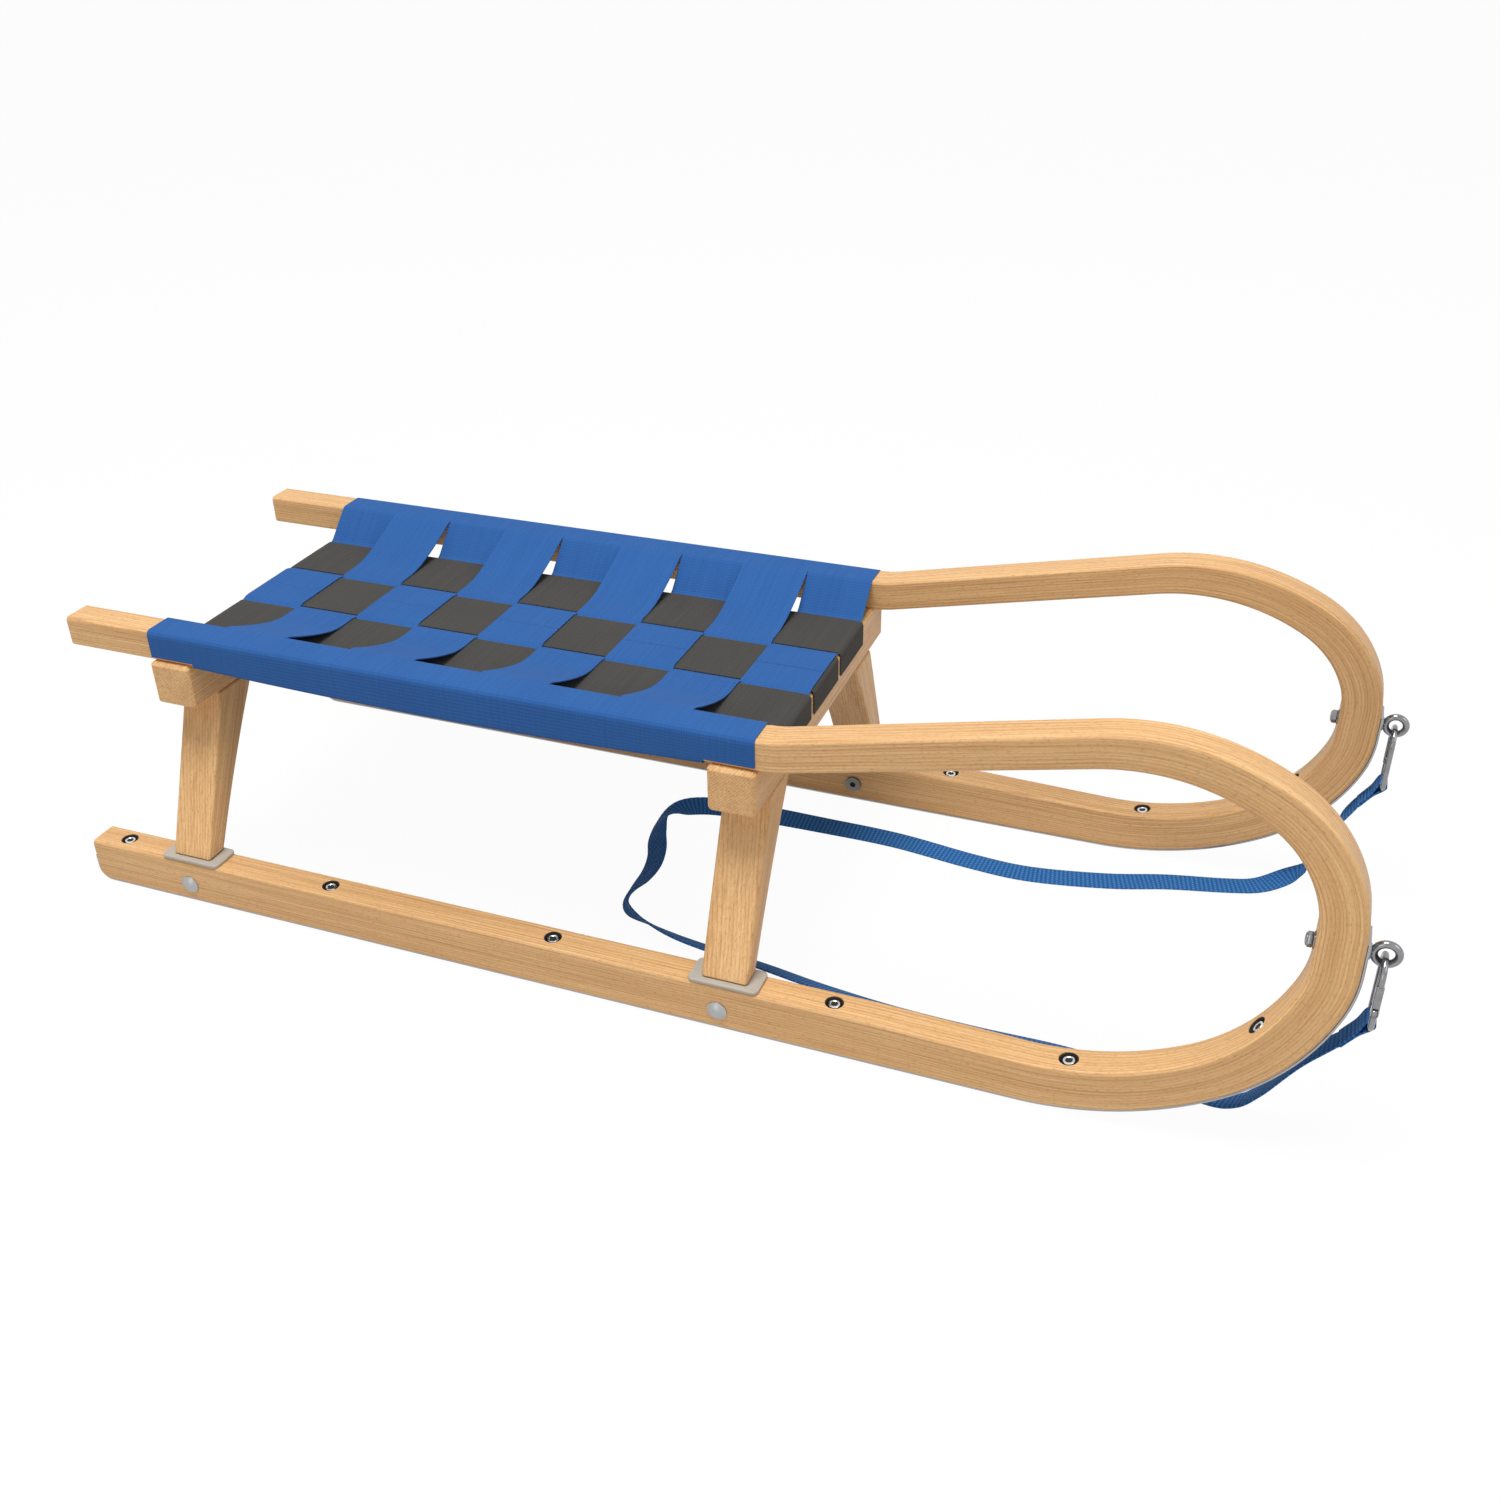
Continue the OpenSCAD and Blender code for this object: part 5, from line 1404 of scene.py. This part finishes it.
def make_loops():
    """A band folded round each hook's lower wire and sewn to itself."""
    tail = 0.78  # from the middle between the two tails to the middle of one
    surface = tail + 0.69
    half = [(28.6, -tail), (24, -tail), (20, -tail), (16, -tail), (13, -0.85), (10.5, -1.15),
            (8, -1.7), (6, -2.2), (4, -2.75), (2, -3.12)]
    path = half + arc((0, 0), 3.25, -90, -270, 15) + [(a, -b) for a, b in reversed(half)]
    points = [BAR + LOOP_DIR * a + LOOP_FACE * b for a, b in path]
    outline = band_outline((1, 0), (0.96, 0.5), (0.5, 0.5))
    rings, spots = [], []
    for i, (p, reach) in enumerate(zip(points, reach_along(points))):
        along = heading(points, i)
        face = Vector((-along.y, along.x)) * LOOP_T
        rings.append([(p.x + face.x * q[1], EYE_Y + q[0] * LOOP_HALF_W, p.y + face.y * q[1])
                      for q in outline])
        spots.append([(q[0] * LOOP_HALF_W, reach) for q in outline])
    band = make_band("left_sewn_loop", rings, spots, 45)
    make_pair(band, "left_hook", TOW_BLUE, "tow_webbing", "left_strap_loop")

    stitch = turned("stitch", [(0.12, -0.9), (0.2, -0.8), (0.22, 0), (0.2, 0.8), (0.12, 0.9)], 8)
    stands = []
    first_row, row_gap, first_column, column_gap = 14.5, 3.6, -6.2, 2.5
    for row in range(4):
        for column in range(6):
            for face in (-1, 1):
                p = BAR + LOOP_DIR * (first_row + row * row_gap) + LOOP_FACE * face * surface
                stands.append(((p.x, EYE_Y + first_column + column * column_gap, p.y),
                               (0, 1, 0)))
    stitches = smooth(repeated("left_loop_stitches", stitch, stands), 50)
    make_pair(stitches, "left_hook", THREAD, "tow_webbing")


def dress_hidden_steel():
    """The screws under the cloth and the staples keep their CAD shapes."""
    for node in ("left_rail_screws", "right_rail_screws", "fabric_staples"):
        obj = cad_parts[node]
        obj.data.materials.clear()
        obj.data.materials.append(ZINC)


make_tow_strap()
make_loops()
make_boards()
make_beams()
make_legs()
make_collars()
make_skids()
make_skid_screws()
make_leg_bolts()
make_eyebolts()
make_hooks()
make_seat_cloth()
make_webbing()
dress_hidden_steel()
